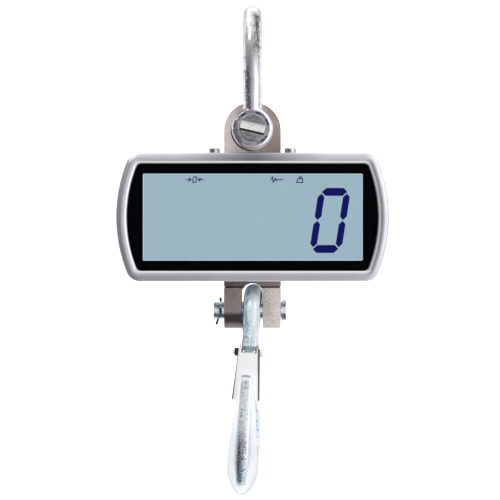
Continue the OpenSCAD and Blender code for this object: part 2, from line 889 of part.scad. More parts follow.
module power_button() {
    color("gainsboro")
        translate([button_x, 0, button_z]) {
            rod_y(button_cap_d, button_cap_y, back_y + button_rim_t + button_proud);
            rod_y(4, button_floor_y + 2, button_cap_y + over / 2, coarse);
        }
}

module button_body() {
    bore_d = button_cap_d + 0.2;
    color("silver")
        translate([button_x, 0, button_z])
            difference() {
                union() {
                    rod_y(button_rim_d, back_y, back_y + button_rim_t);
                    rod_y(button_hole_d, button_floor_y - 12, back_y + over / 2);
                }
                rod_y(bore_d, button_floor_y, back_y + 2 * button_rim_t);
            }
}

module button_spring() {
    color("silver")
        translate([button_x, 0, button_z])
            difference() {
                rod_y(8, button_floor_y, button_cap_y, coarse);
                rod_y(6, button_floor_y - over, button_cap_y + over, coarse);
            }
}

module button_nut() {
    color("silver")
        translate([button_x, 0, button_z])
            difference() {
                rod_y(20, inner_back_y - 3, inner_back_y, 6);
                rod_y(button_hole_d + tap_fit, inner_back_y - 4, inner_back_y + over);
            }
}

module button_lead() {
    lead_d = 3;
    lead_y = main_board_y - connector_h / 2;
    color("dimgray")
        translate([button_x, lead_y, button_z + button_hole_d / 2])
            cylinder(d = lead_d, h = button_lead_top_z - 3 - button_z - button_hole_d / 2, $fn = coarse);
}

// ---------------------------------------------------------------- rating plate

plate_x = 67;
plate_z = case_z + 10;
plate_w = 60;
plate_h = 40;
plate_t = 0.8;
plate_rivet_x = 27;
rivet_d = 2.4;

module rating_plate() {
    color("whitesmoke")
        translate([plate_x, 0, plate_z])
            difference() {
                plate_y(plate_w, plate_h, back_y, back_y + plate_t);
                for (x = [-plate_rivet_x, plate_rivet_x])
                    translate([x, 0, 0]) rod_y(rivet_d + 0.2, 0, back_y + over, coarse);
            }
}

module plate_rivets() {
    color("silver")
        for (x = [-plate_rivet_x, plate_rivet_x])
            translate([plate_x + x, 0, plate_z]) {
                rod_y(rivet_d, inner_back_y + 0.2, back_y + plate_t + 0.4, coarse);
                rod_y(4.4, back_y + plate_t, back_y + plate_t + 1, coarse);
            }
}

// ---------------------------------------------------------------- hook pin

// The pin is pushed to the right until its cotter meets the clevis
pin_shift = 1.3;
hook_pin_head_t = 3.4;
pin_left_x = -33.3;
cotter_x = -27.1;
cotter_d = 3;

module hook_pin() {
    edge = 0.8;
    head_x = cell_w / 2 + pin_shift;
    r = hook_pin_d / 2;
    color("lightsteelblue")
        translate([0, 0, hook_pin_z])
            difference() {
                rotate([0, 90, 0])
                    rotate_extrude($fn = fine)
                        polygon([
                            [0, pin_left_x], [r - edge, pin_left_x], [r, pin_left_x + edge], [r, head_x],
                            [hook_pin_head_d / 2 - edge / 2, head_x],
                            [hook_pin_head_d / 2, head_x + edge / 2],
                            [hook_pin_head_d / 2, head_x + hook_pin_head_t - edge],
                            [hook_pin_head_d / 2 - edge, head_x + hook_pin_head_t],
                            [0, head_x + hook_pin_head_t]
                        ]);
                translate([cotter_x, 0, 0]) rod_y(cotter_d + 0.2, -hook_pin_d, hook_pin_d, coarse);
            }
}

// Passes through the pin from the front, with its eye before the pin and its legs bent up
// and down behind it
module hook_split_pin() {
    r = hook_pin_d / 2;
    loop_r = 2.2;
    loop_y = -r - 2.6;
    wire_d = 1.6;
    // Each leg's bend about X, its lean about Y and its length
    legs = [[70, -4, 10.8], [-74, 20, 13.6]];
    color("slategray")
        translate([cotter_x, 0, hook_pin_z]) {
            rod_y(cotter_d, -r - 1.5, r + 1.5, coarse);
            translate([0, loop_y, 0])
                rotate([0, 90, 0])
                    rotate_extrude($fn = medium)
                        translate([loop_r, 0]) circle(d = wire_d, $fn = coarse);
            for (leg = legs)
                translate([0, r + 1.2, 0])
                    rotate([leg[0], leg[1], 0])
                        rod_y(wire_d, -wire_d / 2, leg[2], coarse);
        }
}

// ---------------------------------------------------------------- hook

// The eye hangs on the top of the pin, so it sits a little below the pin's centre
hook_play = 0.8;
loft_sides = 20;
loft_steps = 5;
corner_power = 0.62;

// Stations down the hook in its own plane: inner edge [y, z], outer edge [y, z], and
// the half widths there. Distances are from the hook pin. Round stretches follow the bowl.
function bowl_station(angle, depth, w_in, w_out) = [
    [bowl_r * cos(angle), bowl_r * sin(angle) - bowl_drop],
    [(bowl_r + depth) * cos(angle), (bowl_r + depth) * sin(angle) - bowl_drop],
    w_in, w_out
];
hook_keys = [
    [[-6.5, -17], [6.5, -17], 6.6, 6.6],
    [[-7.6, -30], [8.2, -30], 7.2, 7.2],
    [[-7.4, -44], [12, -42], 7.2, 7.2],
    [[-1.5, -60], [21, -54], 9, 7.2],
    [[10, -77], [33, -67], 11.2, 6.6],
    [[20.5, -91], [42.5, -83], 13.4, 6],
    bowl_station(4, 22.4, 15, 5.4),
    bowl_station(-26, 23, 15.8, 5.2),
    bowl_station(-58, 22.9, 16, 5.2),
    bowl_station(-90, 22.5, 16, 5.2),
    bowl_station(-122, 21.9, 16, 5.2),
    bowl_station(-152, 20, 15.6, 5.1),
    bowl_station(-180, 17.4, 14.2, 5),
    [[-26.2, -92], [-42.2, -92], 12.4, 4.8],
    [[-27.6, -78], [-41.2, -77], 10.2, 4.6],
    [[-30.2, -66], [-40.6, -65.4], 8.5, 4.4],
    [[-31.8, -57.2], [-40, -57.2], 7.2, 4.2],
    [[-33.4, -53], [-38.8, -53], 5.2, 3.4],
    [[-35.2, -51.5], [-37, -51.5], 2.6, 1.8]
];

// Smooth curve through the stations
function spline(a, b, c, d, t) =
    0.5 * (2 * b + (c - a) * t + (2 * a - 5 * b + 4 * c - d) * t * t + (3 * b - a - 3 * c + d) * t * t * t);
function key(i) = hook_keys[min(max(i, 0), len(hook_keys) - 1)];
function station(i, t) = [for (k = [0:3]) spline(key(i - 1)[k], key(i)[k], key(i + 1)[k], key(i + 2)[k], t)];
function stations() = concat(
    [for (i = [0:len(hook_keys) - 2], s = [0:loft_steps - 1]) station(i, s / loft_steps)],
    [key(len(hook_keys) - 1)]
);
function squared(v) = sign(v) * pow(abs(v), corner_power);
function section(s) = [
    for (i = [0:loft_sides - 1])
        let (
            a = 360 * i / loft_sides,
            u = (1 - squared(cos(a))) / 2,
            w = squared(sin(a)) * (s[2] + (s[3] - s[2]) * u),
            p = s[0] + (s[1] - s[0]) * u
        )
        [w, p[0], p[1]]
];

// Place a shape given in the hook's own frame, with the hook pin at its origin
module hook_place() {
    translate([0, 0, hook_pin_z])
        rotate([0, hook_lean, 0])
            rotate([0, 0, -hook_turn])
                rotate([-hook_hang, 0, 0])
                    children();
}

latch_y = -14;
latch_z = -35.3;
latch_bolt_d = 4;
latch_lug_t = 8;
latch_lug_r = 4.1;

module hook() {
    color("lightsteelblue")
        hook_place()
            difference() {
                union() {
                    translate([0, 0, -hook_play])
                        rotate([0, 90, 0])
                            rotate_extrude($fn = fine)
                                translate([hook_eye_r, 0]) circle(d = hook_eye_bar_d, $fn = medium);
                    translate([0, 0, -hook_play]) loft([for (s = stations()) section(s)]);
                    translate([0, latch_y, latch_z])
                        rod_x(2 * latch_lug_r, -latch_lug_t / 2, latch_lug_t / 2);
                    box([-latch_lug_t / 2, latch_y, latch_z - latch_lug_r],
                        [latch_lug_t / 2, -2, latch_z + latch_lug_r]);
                }
                translate([0, latch_y, latch_z])
                    rod_x(latch_bolt_d + 2 * running_fit, -cell_w, cell_w);
            }
}

// ---------------------------------------------------------------- latch

latch_tilt = 12.6;
latch_top_half = 8.9;
latch_end_half = 11.6;
latch_depth = 5.6;
latch_rise = 3;
ear_depth = 5;

// Outline of the web: half widths at the bolt's level and at the free end
module web_outline() {
    polygon([
        [-latch_top_half, latch_rise], [latch_top_half, latch_rise],
        [latch_end_half, -latch_len], [-latch_end_half, -latch_len]
    ]);
}

// Place a shape given about the latch bolt, with -Z along the latch and -Y out of its web
module latch_place() {
    hook_place()
        translate([0, latch_y, latch_z])
            rotate([-latch_tilt, 0, 0])
                children();
}

module latch() {
    flange_end = 1.5;
    // The web stops this far under the bolt, so that the coils show between the ears
    notch_depth = 1.3;
    notch_half = latch_top_half - 2 * latch_t;
    color("whitesmoke")
        latch_place()
            difference() {
                intersection() {
                    difference() {
                        rotate([90, 0, 0])
                            translate([0, 0, -ear_depth])
                                linear_extrude(latch_depth + ear_depth) web_outline();
                        rotate([90, 0, 0])
                            translate([0, 0, -2 * ear_depth])
                                linear_extrude(latch_depth + 2 * ear_depth - latch_t) web_cavity();
                    }
                    flange_profile(flange_end);
                }
                rod_x(latch_bolt_d + 2 * running_fit, -cell_w, cell_w);
                box([-notch_half, -2 * latch_depth, -notch_depth],
                    [notch_half, 2 * latch_t - latch_depth, 2 * latch_rise]);
            }
}

// Inside of the channel, open at both ends
module web_cavity() {
    slope = (latch_end_half - latch_top_half) / (latch_len + latch_rise);
    polygon([
        [-latch_top_half + latch_t + slope, latch_rise + over],
        [latch_top_half - latch_t - slope, latch_rise + over],
        [latch_end_half - latch_t + slope, -latch_len - over],
        [-latch_end_half + latch_t - slope, -latch_len - over]
    ]);
}

// Side view of the channel: full depth round the bolt, shallow at the free end
module flange_profile(end_depth) {
    rotate([90, 0, 90])
        translate([0, 0, -2 * latch_end_half])
            linear_extrude(4 * latch_end_half)
                polygon([
                    [-latch_depth, latch_rise], [ear_depth - 1, latch_rise], [ear_depth, latch_rise - 1],
                    [ear_depth, -ear_depth], [end_depth, -latch_len + 12], [end_depth - 2, -latch_len],
                    [-latch_depth, -latch_len]
                ]);
}

module latch_bolt() {
    head_x = latch_top_half + 0.4;
    nut_x = latch_top_half + 0.4;
    color("slategray")
        hook_place()
            translate([0, latch_y, latch_z]) {
                rod_x(latch_bolt_d, -nut_x - 5, head_x + over / 2, coarse);
                rod_x(7, head_x, head_x + 2.6);
            }
}

module latch_nut() {
    nut_x = latch_top_half + 0.4;
    color("slategray")
        hook_place()
            translate([0, latch_y, latch_z])
                difference() {
                    rod_x(7, -nut_x - 3, -nut_x, 6);
                    rod_x(latch_bolt_d + 2 * running_fit, -nut_x - 4, -nut_x + over, coarse);
                }
}

// Section of a close-wound coil: a wall with one ridge for each turn
function coil_profile(r, d, turns) = concat(
    [[r - d / 2, 0]],
    [for (i = [0:turns - 1], p = [[0.3, 0], [0.5, 0.3], [0.5, 0.7], [0.3, 1]])
        [r + p[0] * d, (i + p[1]) * d]],
    [[r - d / 2, turns * d]]
);

// Twin torsion spring: coils on both sides of the hook's lug, with a leg up each side
module latch_spring() {
    wire_d = 0.9;
    coil_r = latch_bolt_d / 2 + 0.9;
    first_x = latch_lug_t / 2 + 0.7;
    turns = 3;
    leg_len = 9;
    leg_d = 0.7;
    color("gray")
        hook_place()
            translate([0, latch_y, latch_z])
                both_sides() {
                    translate([first_x, 0, 0])
                        rotate([0, 90, 0])
                            rotate_extrude($fn = medium) polygon(coil_profile(coil_r, wire_d, turns));
                    translate([first_x + (turns - 0.5) * wire_d, coil_r, 0])
                        cylinder(d = leg_d, h = leg_len, $fn = coarse);
                    translate([first_x + wire_d / 2, -coil_r, 0])
                        rotate([180 - latch_tilt, 0, 0])
                            cylinder(d = leg_d, h = leg_len, $fn = coarse);
                }
}

shackle_bow();
shackle_pin();
load_cell();
strain_gauges();
gauge_covers();
gauge_cover_screws();
cell_cable();
case_brackets();
bracket_screws();
case_cap_screws();
cap_screw_washers();
top_seal();
bottom_seal();
front_bezel();
rear_housing();
housing_gasket();
housing_screws();
display_glass();
glass_seal();
lcd_panel();
lcd_backlight();
zebra_strips();
display_board();
display_board_screws();
ribbon_cable();
main_board();
board_spacers();
board_screws();
buzzer();
board_connectors();
battery_holder();
battery_cells();
battery_springs();
battery_lead();
battery_cover();
battery_cover_seal();
battery_cover_screws();
power_button();
button_body();
button_spring();
button_nut();
button_lead();
rating_plate();
plate_rivets();
hook_pin();
hook_split_pin();
hook();
latch();
latch_bolt();
latch_nut();
latch_spring();
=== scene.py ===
import json
import math

import bmesh
import bpy
from mathutils import Matrix, Vector


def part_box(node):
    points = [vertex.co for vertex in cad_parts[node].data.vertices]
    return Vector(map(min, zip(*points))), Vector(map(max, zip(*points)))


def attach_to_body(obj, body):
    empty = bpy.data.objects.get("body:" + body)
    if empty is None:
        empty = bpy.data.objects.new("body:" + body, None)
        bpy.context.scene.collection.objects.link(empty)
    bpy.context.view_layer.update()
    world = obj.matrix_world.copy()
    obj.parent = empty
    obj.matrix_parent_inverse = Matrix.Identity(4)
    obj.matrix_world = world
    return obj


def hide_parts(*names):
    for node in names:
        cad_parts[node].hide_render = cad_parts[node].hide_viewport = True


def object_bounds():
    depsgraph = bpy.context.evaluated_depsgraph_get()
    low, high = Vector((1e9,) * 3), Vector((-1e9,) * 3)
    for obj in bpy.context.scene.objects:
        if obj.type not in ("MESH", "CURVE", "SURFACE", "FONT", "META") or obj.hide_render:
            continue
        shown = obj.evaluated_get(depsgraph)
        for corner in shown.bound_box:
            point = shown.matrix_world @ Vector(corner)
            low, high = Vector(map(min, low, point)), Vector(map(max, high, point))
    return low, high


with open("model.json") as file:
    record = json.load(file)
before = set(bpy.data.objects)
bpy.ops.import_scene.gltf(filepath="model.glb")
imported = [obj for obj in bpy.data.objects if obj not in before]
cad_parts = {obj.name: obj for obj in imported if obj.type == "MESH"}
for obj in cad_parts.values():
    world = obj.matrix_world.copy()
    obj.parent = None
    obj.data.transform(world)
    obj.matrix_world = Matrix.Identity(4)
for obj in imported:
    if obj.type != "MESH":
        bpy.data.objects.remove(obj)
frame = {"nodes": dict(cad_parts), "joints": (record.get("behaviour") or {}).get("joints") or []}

cad_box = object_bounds()
MM = 0.001
WHITE = (1.0, 1.0, 1.0)
BLACK = (0.0, 0.0, 0.0)


# ---------------- sizes and places, from the frame


def node(name):
    return frame["nodes"][name]


def level(name):
    """Height of the middle of a node."""
    low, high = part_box(name)
    return (low.z + high.z) / 2


BEZEL_LOW, BEZEL_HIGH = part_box("front_bezel")
GLASS_LOW, GLASS_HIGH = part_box("display_glass")
LCD_LOW, LCD_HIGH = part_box("lcd_panel")
SHACKLE_PIN_Z = level("shackle_pin")
HOOK_PIN_Z = level("hook_pin")
CASE_W = BEZEL_HIGH.x - BEZEL_LOW.x
CASE_H = BEZEL_HIGH.z - BEZEL_LOW.z
CASE_Z = level("front_bezel")
FRONT_Y = BEZEL_LOW.y
# Radii of the case's bulged sides and of the corners of the case and the glass
SIDE_R = 123 * MM
CORNER_R = 12 * MM
GLASS_CORNER = 4.6 * MM
RIM_W = (CASE_W - (GLASS_HIGH.x - GLASS_LOW.x)) / 2
ARC_STEPS = 14
# Clear window in the black print, just inside the panel's edges
WINDOW_X = 0.25 * MM
WINDOW_W = LCD_HIGH.x - LCD_LOW.x - 3.1 * MM
WINDOW_H = LCD_HIGH.z - LCD_LOW.z - 2.5 * MM
# Lean of the display's characters, and how far they stand off the panel
SLANT = 0.158
INK_T = 0.06 * MM


# ---------------- camera, floor and light


def add_camera():
    """Level with the display and square to it, about 0.8 m in front of the glass."""
    data = bpy.data.cameras.new("camera")
    data.lens = 70.3
    data.sensor_width = 36.0
    camera = bpy.data.objects.new("camera", data)
    camera.location = (-2.05 * MM, -838 * MM, -192.46 * MM)
    camera.rotation_euler = (math.radians(90), 0, 0)
    bpy.context.scene.collection.objects.link(camera)
    bpy.context.scene.camera = camera


def add_softbox(name, azimuth, height, distance, size, power):
    """A rectangular light facing the object; azimuth 0 is on the camera's side, 90 is to its right."""
    data = bpy.data.lights.new(name, "AREA")
    data.shape = "RECTANGLE"
    data.size, data.size_y = size
    data.energy = power
    light = bpy.data.objects.new(name, data)
    turn = math.radians(azimuth)
    light.location = (distance * math.sin(turn), -distance * math.cos(turn), height)
    target = Vector((0, 0, cad_box[0][2] * 0.5))
    light.rotation_euler = (target - light.location).to_track_quat("-Z", "Y").to_euler()
    bpy.context.scene.collection.objects.link(light)


def add_stage():
    """Pale floor well below the hook that sweeps up into a pale wall behind."""
    clearance = 60 * MM
    floor_z = cad_box[0][2] - clearance
    front, turn, radius, top, half = 0.05, 1.0, 0.9, 2.6, 3.0
    profile = [(front, floor_z), (turn, floor_z)]
    steps = 16
    for i in range(1, steps + 1):
        a = math.pi / 2 * i / steps
        profile.append((turn + radius * math.sin(a), floor_z + radius * (1 - math.cos(a))))
    profile.append((turn + radius, top))
    verts = [(x, y, z) for y, z in profile for x in (-half, half)]
    faces = [(2 * i, 2 * i + 1, 2 * i + 3, 2 * i + 2) for i in range(len(profile) - 1)]
    mesh = bpy.data.meshes.new("stage")
    mesh.from_pydata(verts, [], faces)
    mesh.shade_smooth()
    stage = place_mesh("stage", mesh)
    paint = Shader("stage_paint", Roughness=0.9)
    cloud = paint.noise(0.5, detail=2)
    paint.link("Base Color", paint.ramp(cloud, [(0.0, (0.88, 0.87, 0.90)), (1.0, (0.92, 0.91, 0.94))]))
    paint.set("Emission Color", (*WHITE, 1))
    paint.link("Emission Strength", paint.add("ShaderNodeLightPath").outputs["Is Camera Ray"])
    stage.data.materials.append(paint.material)


def add_world():
    """Bright surroundings with darker bands on the camera's side, as in a studio with two softboxes."""
    world = bpy.data.worlds.new("studio")
    bpy.context.scene.world = world
    world.use_nodes = True
    w = Nodes(world.node_tree)
    way = w.split("Generated")
    azimuth = w.math("ARCTAN2", way["X"], w.math("MULTIPLY", way["Y"], -1))
    # Azimuth in degrees from the direction behind the camera, and brightness
    bands = [
        (-180, 0.9), (-104, 0.88), (-94, 0.35), (-70, 0.22), (-56, 0.12), (-40, 0.1), (-16, 0.12), (-6, 0.4),
        (14, 0.42), (24, 0.9), (34, 1.1), (76, 1.1), (84, 0.3), (92, 0.3), (104, 0.9), (180, 0.9),
    ]
    stops = [((degrees + 180) / 360, (bright, bright, bright * 1.01)) for degrees, bright in bands]
    studio = w.ramp(w.rise(azimuth, -math.pi, math.pi), stops)
    # Overhead the surroundings are white all round, and seen directly they are plain white
    sky = w.blend(w.rise(way["Z"], 0.45, 0.8), studio, WHITE)
    seen = w.blend(w.add("ShaderNodeLightPath").outputs["Is Camera Ray"], sky, WHITE)
    w.wire(w.tree.nodes["Background"], "Color", seen)


# ---------------- node helpers


class Nodes:
    """Short ways to add nodes to one tree and to join them."""

    def __init__(self, tree):
        self.tree = tree

    def add(self, kind, **settings):
        node = self.tree.nodes.new(kind)
        for key, value in settings.items():
            setattr(node, key, value)
        return node

    def wire(self, node, socket, source):
        self.tree.links.new(source, node.inputs[socket])

    def split(self, output):
        """X, Y and Z of a texture coordinate: Object is the place in metres, Normal the way a face looks."""
        node = self.add("ShaderNodeSeparateXYZ")
        self.wire(node, "Vector", self.add("ShaderNodeTexCoord").outputs[output])
        return node.outputs

    def math(self, operation, a, b=0):
        node = self.add("ShaderNodeMath", operation=operation)
        for index, value in enumerate((a, b)):
            if isinstance(value, (int, float)):
                node.inputs[index].default_value = value
            else:
                self.wire(node, index, value)
        return node.outputs[0]

    def absolute(self, value):
        return self.math("ABSOLUTE", value)

    def either(self, first, *others):
        """The strongest of the masks."""
        for mask in others:
            first = self.math("MAXIMUM", first, mask)
        return first

    def both(self, first, *others):
        """The weakest of the masks."""
        for mask in others:
            first = self.math("MINIMUM", first, mask)
        return first

    def span(self, source, low, high, start=0.3, stop=0.7):
        """Maps the part of source between start and stop to the range low to high."""
        node = self.add("ShaderNodeMapRange")
        for socket, value in (("From Min", start), ("From Max", stop), ("To Min", low), ("To Max", high)):
            node.inputs[socket].default_value = value
        self.wire(node, "Value", source)
        return node.outputs[0]

    def rise(self, source, start, stop, top=1.0):
        """Nothing up to start, top from stop on."""
        return self.span(source, 0.0, top, start, stop)

    def fall(self, source, start, stop, top=1.0):
        """Top up to start, nothing from stop on."""
        return self.span(source, top, 0.0, start, stop)

    def band(self, source, low, high, soft):
        """One between low and high, fading to nothing over soft outside them."""
        return self.both(self.rise(source, low - soft, low), self.fall(source, high, high + soft))

    def ramp(self, source, stops):
        node = self.add("ShaderNodeValToRGB")
        elements = node.color_ramp.elements
        while len(elements) < len(stops):
            elements.new(0.5)
        for element, (position, colour) in zip(elements, stops):
            element.position = position
            element.color = (*colour, 1)
        self.wire(node, "Fac", source)
        return node.outputs["Color"]

    def tones(self, source, dark, light):
        """Drifts between two colours as the noise does."""
        return self.ramp(source, [(0.3, dark), (0.7, light)])

    def blend(self, factor, a, b):
        """Colour a where the factor is nothing, b where it is one."""
        node = self.add("ShaderNodeMix", data_type="RGBA")
        self.wire(node, "Factor", factor)
        for socket, value in (("A", a), ("B", b)):
            if isinstance(value, tuple):
                node.inputs[socket].default_value = (*value, 1)
            else:
                self.wire(node, socket, value)
        return node.outputs["Result"]


class Shader(Nodes):
    """A node material built on one Principled BSDF, textured in the object's own metres."""

    def __init__(self, name, **sockets):
        self.material = bpy.data.materials.new(name)
        self.material.use_nodes = True
        super().__init__(self.material.node_tree)
        self.bsdf = self.tree.nodes["Principled BSDF"]
        self.coords = self.add("ShaderNodeTexCoord").outputs["Object"]
        for socket, value in sockets.items():
            self.set(socket.replace("_", " "), value)

    def set(self, socket, value):
        self.bsdf.inputs[socket].default_value = value

    def link(self, socket, source):
        self.wire(self.bsdf, socket, source)

    def glow(self, colour, strength):
        """Adds a faint light of its own: a painted glow on the metals, the backlight on the display."""
        if isinstance(colour, tuple):
            self.set("Emission Color", (*colour, 1))
        else:
            self.link("Emission Color", colour)
        self.set("Emission Strength", strength)

    def lit(self, tone, strength):
        """Colours the surface and its faint light alike."""
        self.link("Base Color", tone)
        self.glow(tone, strength)

    def mapped(self, place, scale):
        """Object coordinates scaled, then moved by place."""
        mapping = self.add("ShaderNodeMapping")
        mapping.inputs["Location"].default_value = place
        mapping.inputs["Scale"].default_value = scale
        self.wire(mapping, "Vector", self.coords)
        return mapping.outputs[0]

    def noise(self, size, detail=3.0, rough=0.5, vector=None):
        """Noise whose features are about size metres across."""
        node = self.add("ShaderNodeTexNoise")
        for socket, value in (("Scale", 1 / size), ("Detail", detail), ("Roughness", rough)):
            node.inputs[socket].default_value = value
        self.wire(node, "Vector", vector or self.coords)
        return node.outputs["Fac"]

    def cells(self, size, feature="F1", randomness=1.0):
        """Cells about size metres across."""
        node = self.add("ShaderNodeTexVoronoi", feature=feature)
        node.inputs["Scale"].default_value = 1 / size
        node.inputs["Randomness"].default_value = randomness
        self.wire(node, "Vector", self.coords)
        return node.outputs["Distance"]

    def bump(self, height, distance, strength, under=None):
        """Adds a bump whose full height is distance metres, over another bump if one is given."""
        node = self.add("ShaderNodeBump")
        node.inputs["Distance"].default_value = distance
        node.inputs["Strength"].default_value = strength
        self.wire(node, "Height", height)
        if under is not None:
            self.wire(node, "Normal", under)
        self.link("Normal", node.outputs[0])
        return node.outputs[0]

    def around(self, centre_z):
        """Distance from the front-to-back line that crosses the load line at height centre_z."""
        node = self.add("ShaderNodeVectorMath", operation="LENGTH")
        self.wire(node, "Vector", self.mapped((0, 0, -centre_z), (1, 0, 1)))
        return node.outputs["Value"]

    def sweep(self, facing, jitter):
        """From nothing to one as the faces turn from one side to the other, roughened by the jitter."""
        return self.rise(self.math("ADD", facing, jitter), -1.0, 1.0)


# ---------------- materials


def metal(name, dark, light, size, roughness, metallic=1.0, stretch=None):
    """Metal whose colour drifts between dark and light over size metres, with a fine grain."""
    s = Shader(name, Metallic=metallic)
    vector = s.mapped((0, 0, 0), stretch) if stretch else None
    fine = s.noise(0.4 * MM, detail=2, vector=vector)
    s.link("Base Color", s.tones(s.noise(size, detail=5, rough=0.6, vector=vector), dark, light))
    s.link("Roughness", s.span(fine, *roughness))
    s.bump(fine, 0.02 * MM, 0.5)
    return s


def plastic(name, colour, roughness, grain=0.6 * MM):
    """Moulded plastic or rubber with a fine spark-eroded grain."""
    s = Shader(name)
    dim = tuple(c * 0.82 for c in colour)
    s.link("Base Color", s.tones(s.noise(6 * MM, detail=4), dim, colour))
    fine = s.noise(grain, detail=3)
    s.link("Roughness", s.span(fine, roughness - 0.08, roughness + 0.08))
    s.bump(fine, 0.03 * MM, 0.6)
    return s


def forged_plated():
    """Bright plating over a forged bar, finely speckled, with painted reflections that leave it dark on its
    left and pale in its middle and edges, and a painted glow.
    """
    legs_top, crown_base = -44 * MM, -24 * MM
    cap_base, cap_top = 1 * MM, 8 * MM
    s = Shader("forged_plated", Metallic=1.0)
    place, facing = s.split("Object"), s.split("Normal")
    speck = s.noise(1.2 * MM, detail=5, rough=0.8)
    cloud = s.noise(9 * MM, detail=4, rough=0.6)
    jitter = s.math("ADD", s.span(speck, -0.42, 0.42, 0.32, 0.68), s.span(cloud, -0.12, 0.12))
    across = s.sweep(facing["X"], jitter)
    # Painted reflections: dark and pale bands by which way each face turns, one set for the legs and one for
    # the crown
    legs = s.ramp(across, [
        (0.06, (0.90, 0.88, 0.92)), (0.15, (0.44, 0.41, 0.47)), (0.25, (0.05, 0.045, 0.06)),
        (0.34, (0.14, 0.12, 0.15)), (0.44, (0.62, 0.59, 0.64)), (0.58, (0.52, 0.50, 0.53)),
        (0.68, (0.94, 0.94, 0.96)), (0.80, (0.42, 0.41, 0.45)), (0.90, (0.84, 0.83, 0.87)),
        (1.0, (0.90, 0.89, 0.93)),
    ])
    crown = s.ramp(across, [
        (0.08, (0.80, 0.78, 0.82)), (0.18, (0.34, 0.32, 0.34)), (0.28, (0.96, 0.95, 0.96)),
        (0.44, (0.60, 0.58, 0.57)), (0.58, (0.42, 0.39, 0.39)), (0.66, (0.03, 0.025, 0.03)),
        (0.78, (0.05, 0.045, 0.055)), (0.88, (0.80, 0.79, 0.83)),
    ])
    tone = s.blend(s.rise(place["Z"], legs_top, crown_base), legs, crown)
    # Painted reflection of the light overhead: the top of the crown a flat pale grey
    tone = s.blend(s.rise(place["Z"], cap_base, cap_top), tone, (0.60, 0.59, 0.61))
    # Painted shade: a patchy dark ring in the hollow between the pin's head and the round edge of the eye
    ring = s.band(s.around(SHACKLE_PIN_Z), 12.4 * MM, 14.2 * MM, 0.7 * MM)
    patchy_ring_shade = s.math("MULTIPLY", ring, s.span(cloud, 0.2, 1.0, 0.4, 0.6))
    # Painted glow over the whole forging
    s.lit(s.blend(patchy_ring_shade, tone, (0.06, 0.06, 0.10)), 0.36)
    s.link("Roughness", s.span(speck, 0.1, 0.26))
    s.bump(speck, 0.1 * MM, 0.6, s.bump(s.noise(9 * MM, detail=1), 0.2 * MM, 0.6))
    return s


def shank_glow(s, place, facing, across):
    """Painted glow of the shank: streaks of painted reflection with a dark one on its left, painted shade at
    its edges and on faces that look up, and a painted shadow behind the latch's top.
    """
    pale = s.ramp(across, [
        (0.04, (0.80, 0.88, 0.95)), (0.13, (0.50, 0.60, 0.69)), (0.20, (0.16, 0.24, 0.32)),
        (0.28, (0.50, 0.60, 0.68)), (0.36, (0.86, 0.96, 1.0)), (0.50, (0.92, 1.0, 1.0)),
        (0.60, (0.54, 0.62, 0.69)), (0.68, (0.96, 1.0, 1.0)), (0.86, (0.78, 0.84, 0.92)),
        (1.0, (0.84, 0.90, 0.98)),
    ])
    # Painted shade at the left edge, at the right edge beside the eye and on faces that look up
    left_edge_shade = s.fall(facing["X"], -0.92, -0.8)
    eye_right_edge_shade = s.both(s.rise(facing["X"], 0.84, 0.92), s.rise(place["Z"], -243 * MM, -240 * MM))
    pale = s.blend(s.either(left_edge_shade, eye_right_edge_shade), pale, (0.03, 0.035, 0.045))
    pale = s.blend(s.rise(facing["Z"], 0.3, 0.85, 0.9), pale, (0.10, 0.13, 0.18))
    latch_shadow = s.band(place["Z"], -277.5 * MM, -275 * MM, 1.5 * MM)
    return s.blend(latch_shadow, pale, (0.10, 0.15, 0.18))


def point_glow(s, facing, flakes, flank, edge):
    """Painted glow of the point: its dotted front and plain flanks, both with painted shade at the crest and
    the edges.
    """
    crest = s.rise(facing["Z"], 0.4, 0.75, 0.9)
    dots = s.ramp(flakes, [
        (0.36, (0.10, 0.15, 0.24)), (0.43, (0.58, 0.66, 0.74)), (0.52, (0.92, 0.95, 0.98)),
    ])
    dots = s.blend(s.rise(edge, 0.72, 0.95, 0.8), dots, (0.16, 0.21, 0.30))
    dots = s.blend(crest, dots, (0.14, 0.19, 0.28))
    plain = s.blend(s.rise(edge, 0.8, 0.98, 0.7), (0.42, 0.44, 0.45), (0.10, 0.13, 0.18))
    plain = s.blend(crest, plain, (0.05, 0.07, 0.10))
    return s.blend(flank, dots, plain)


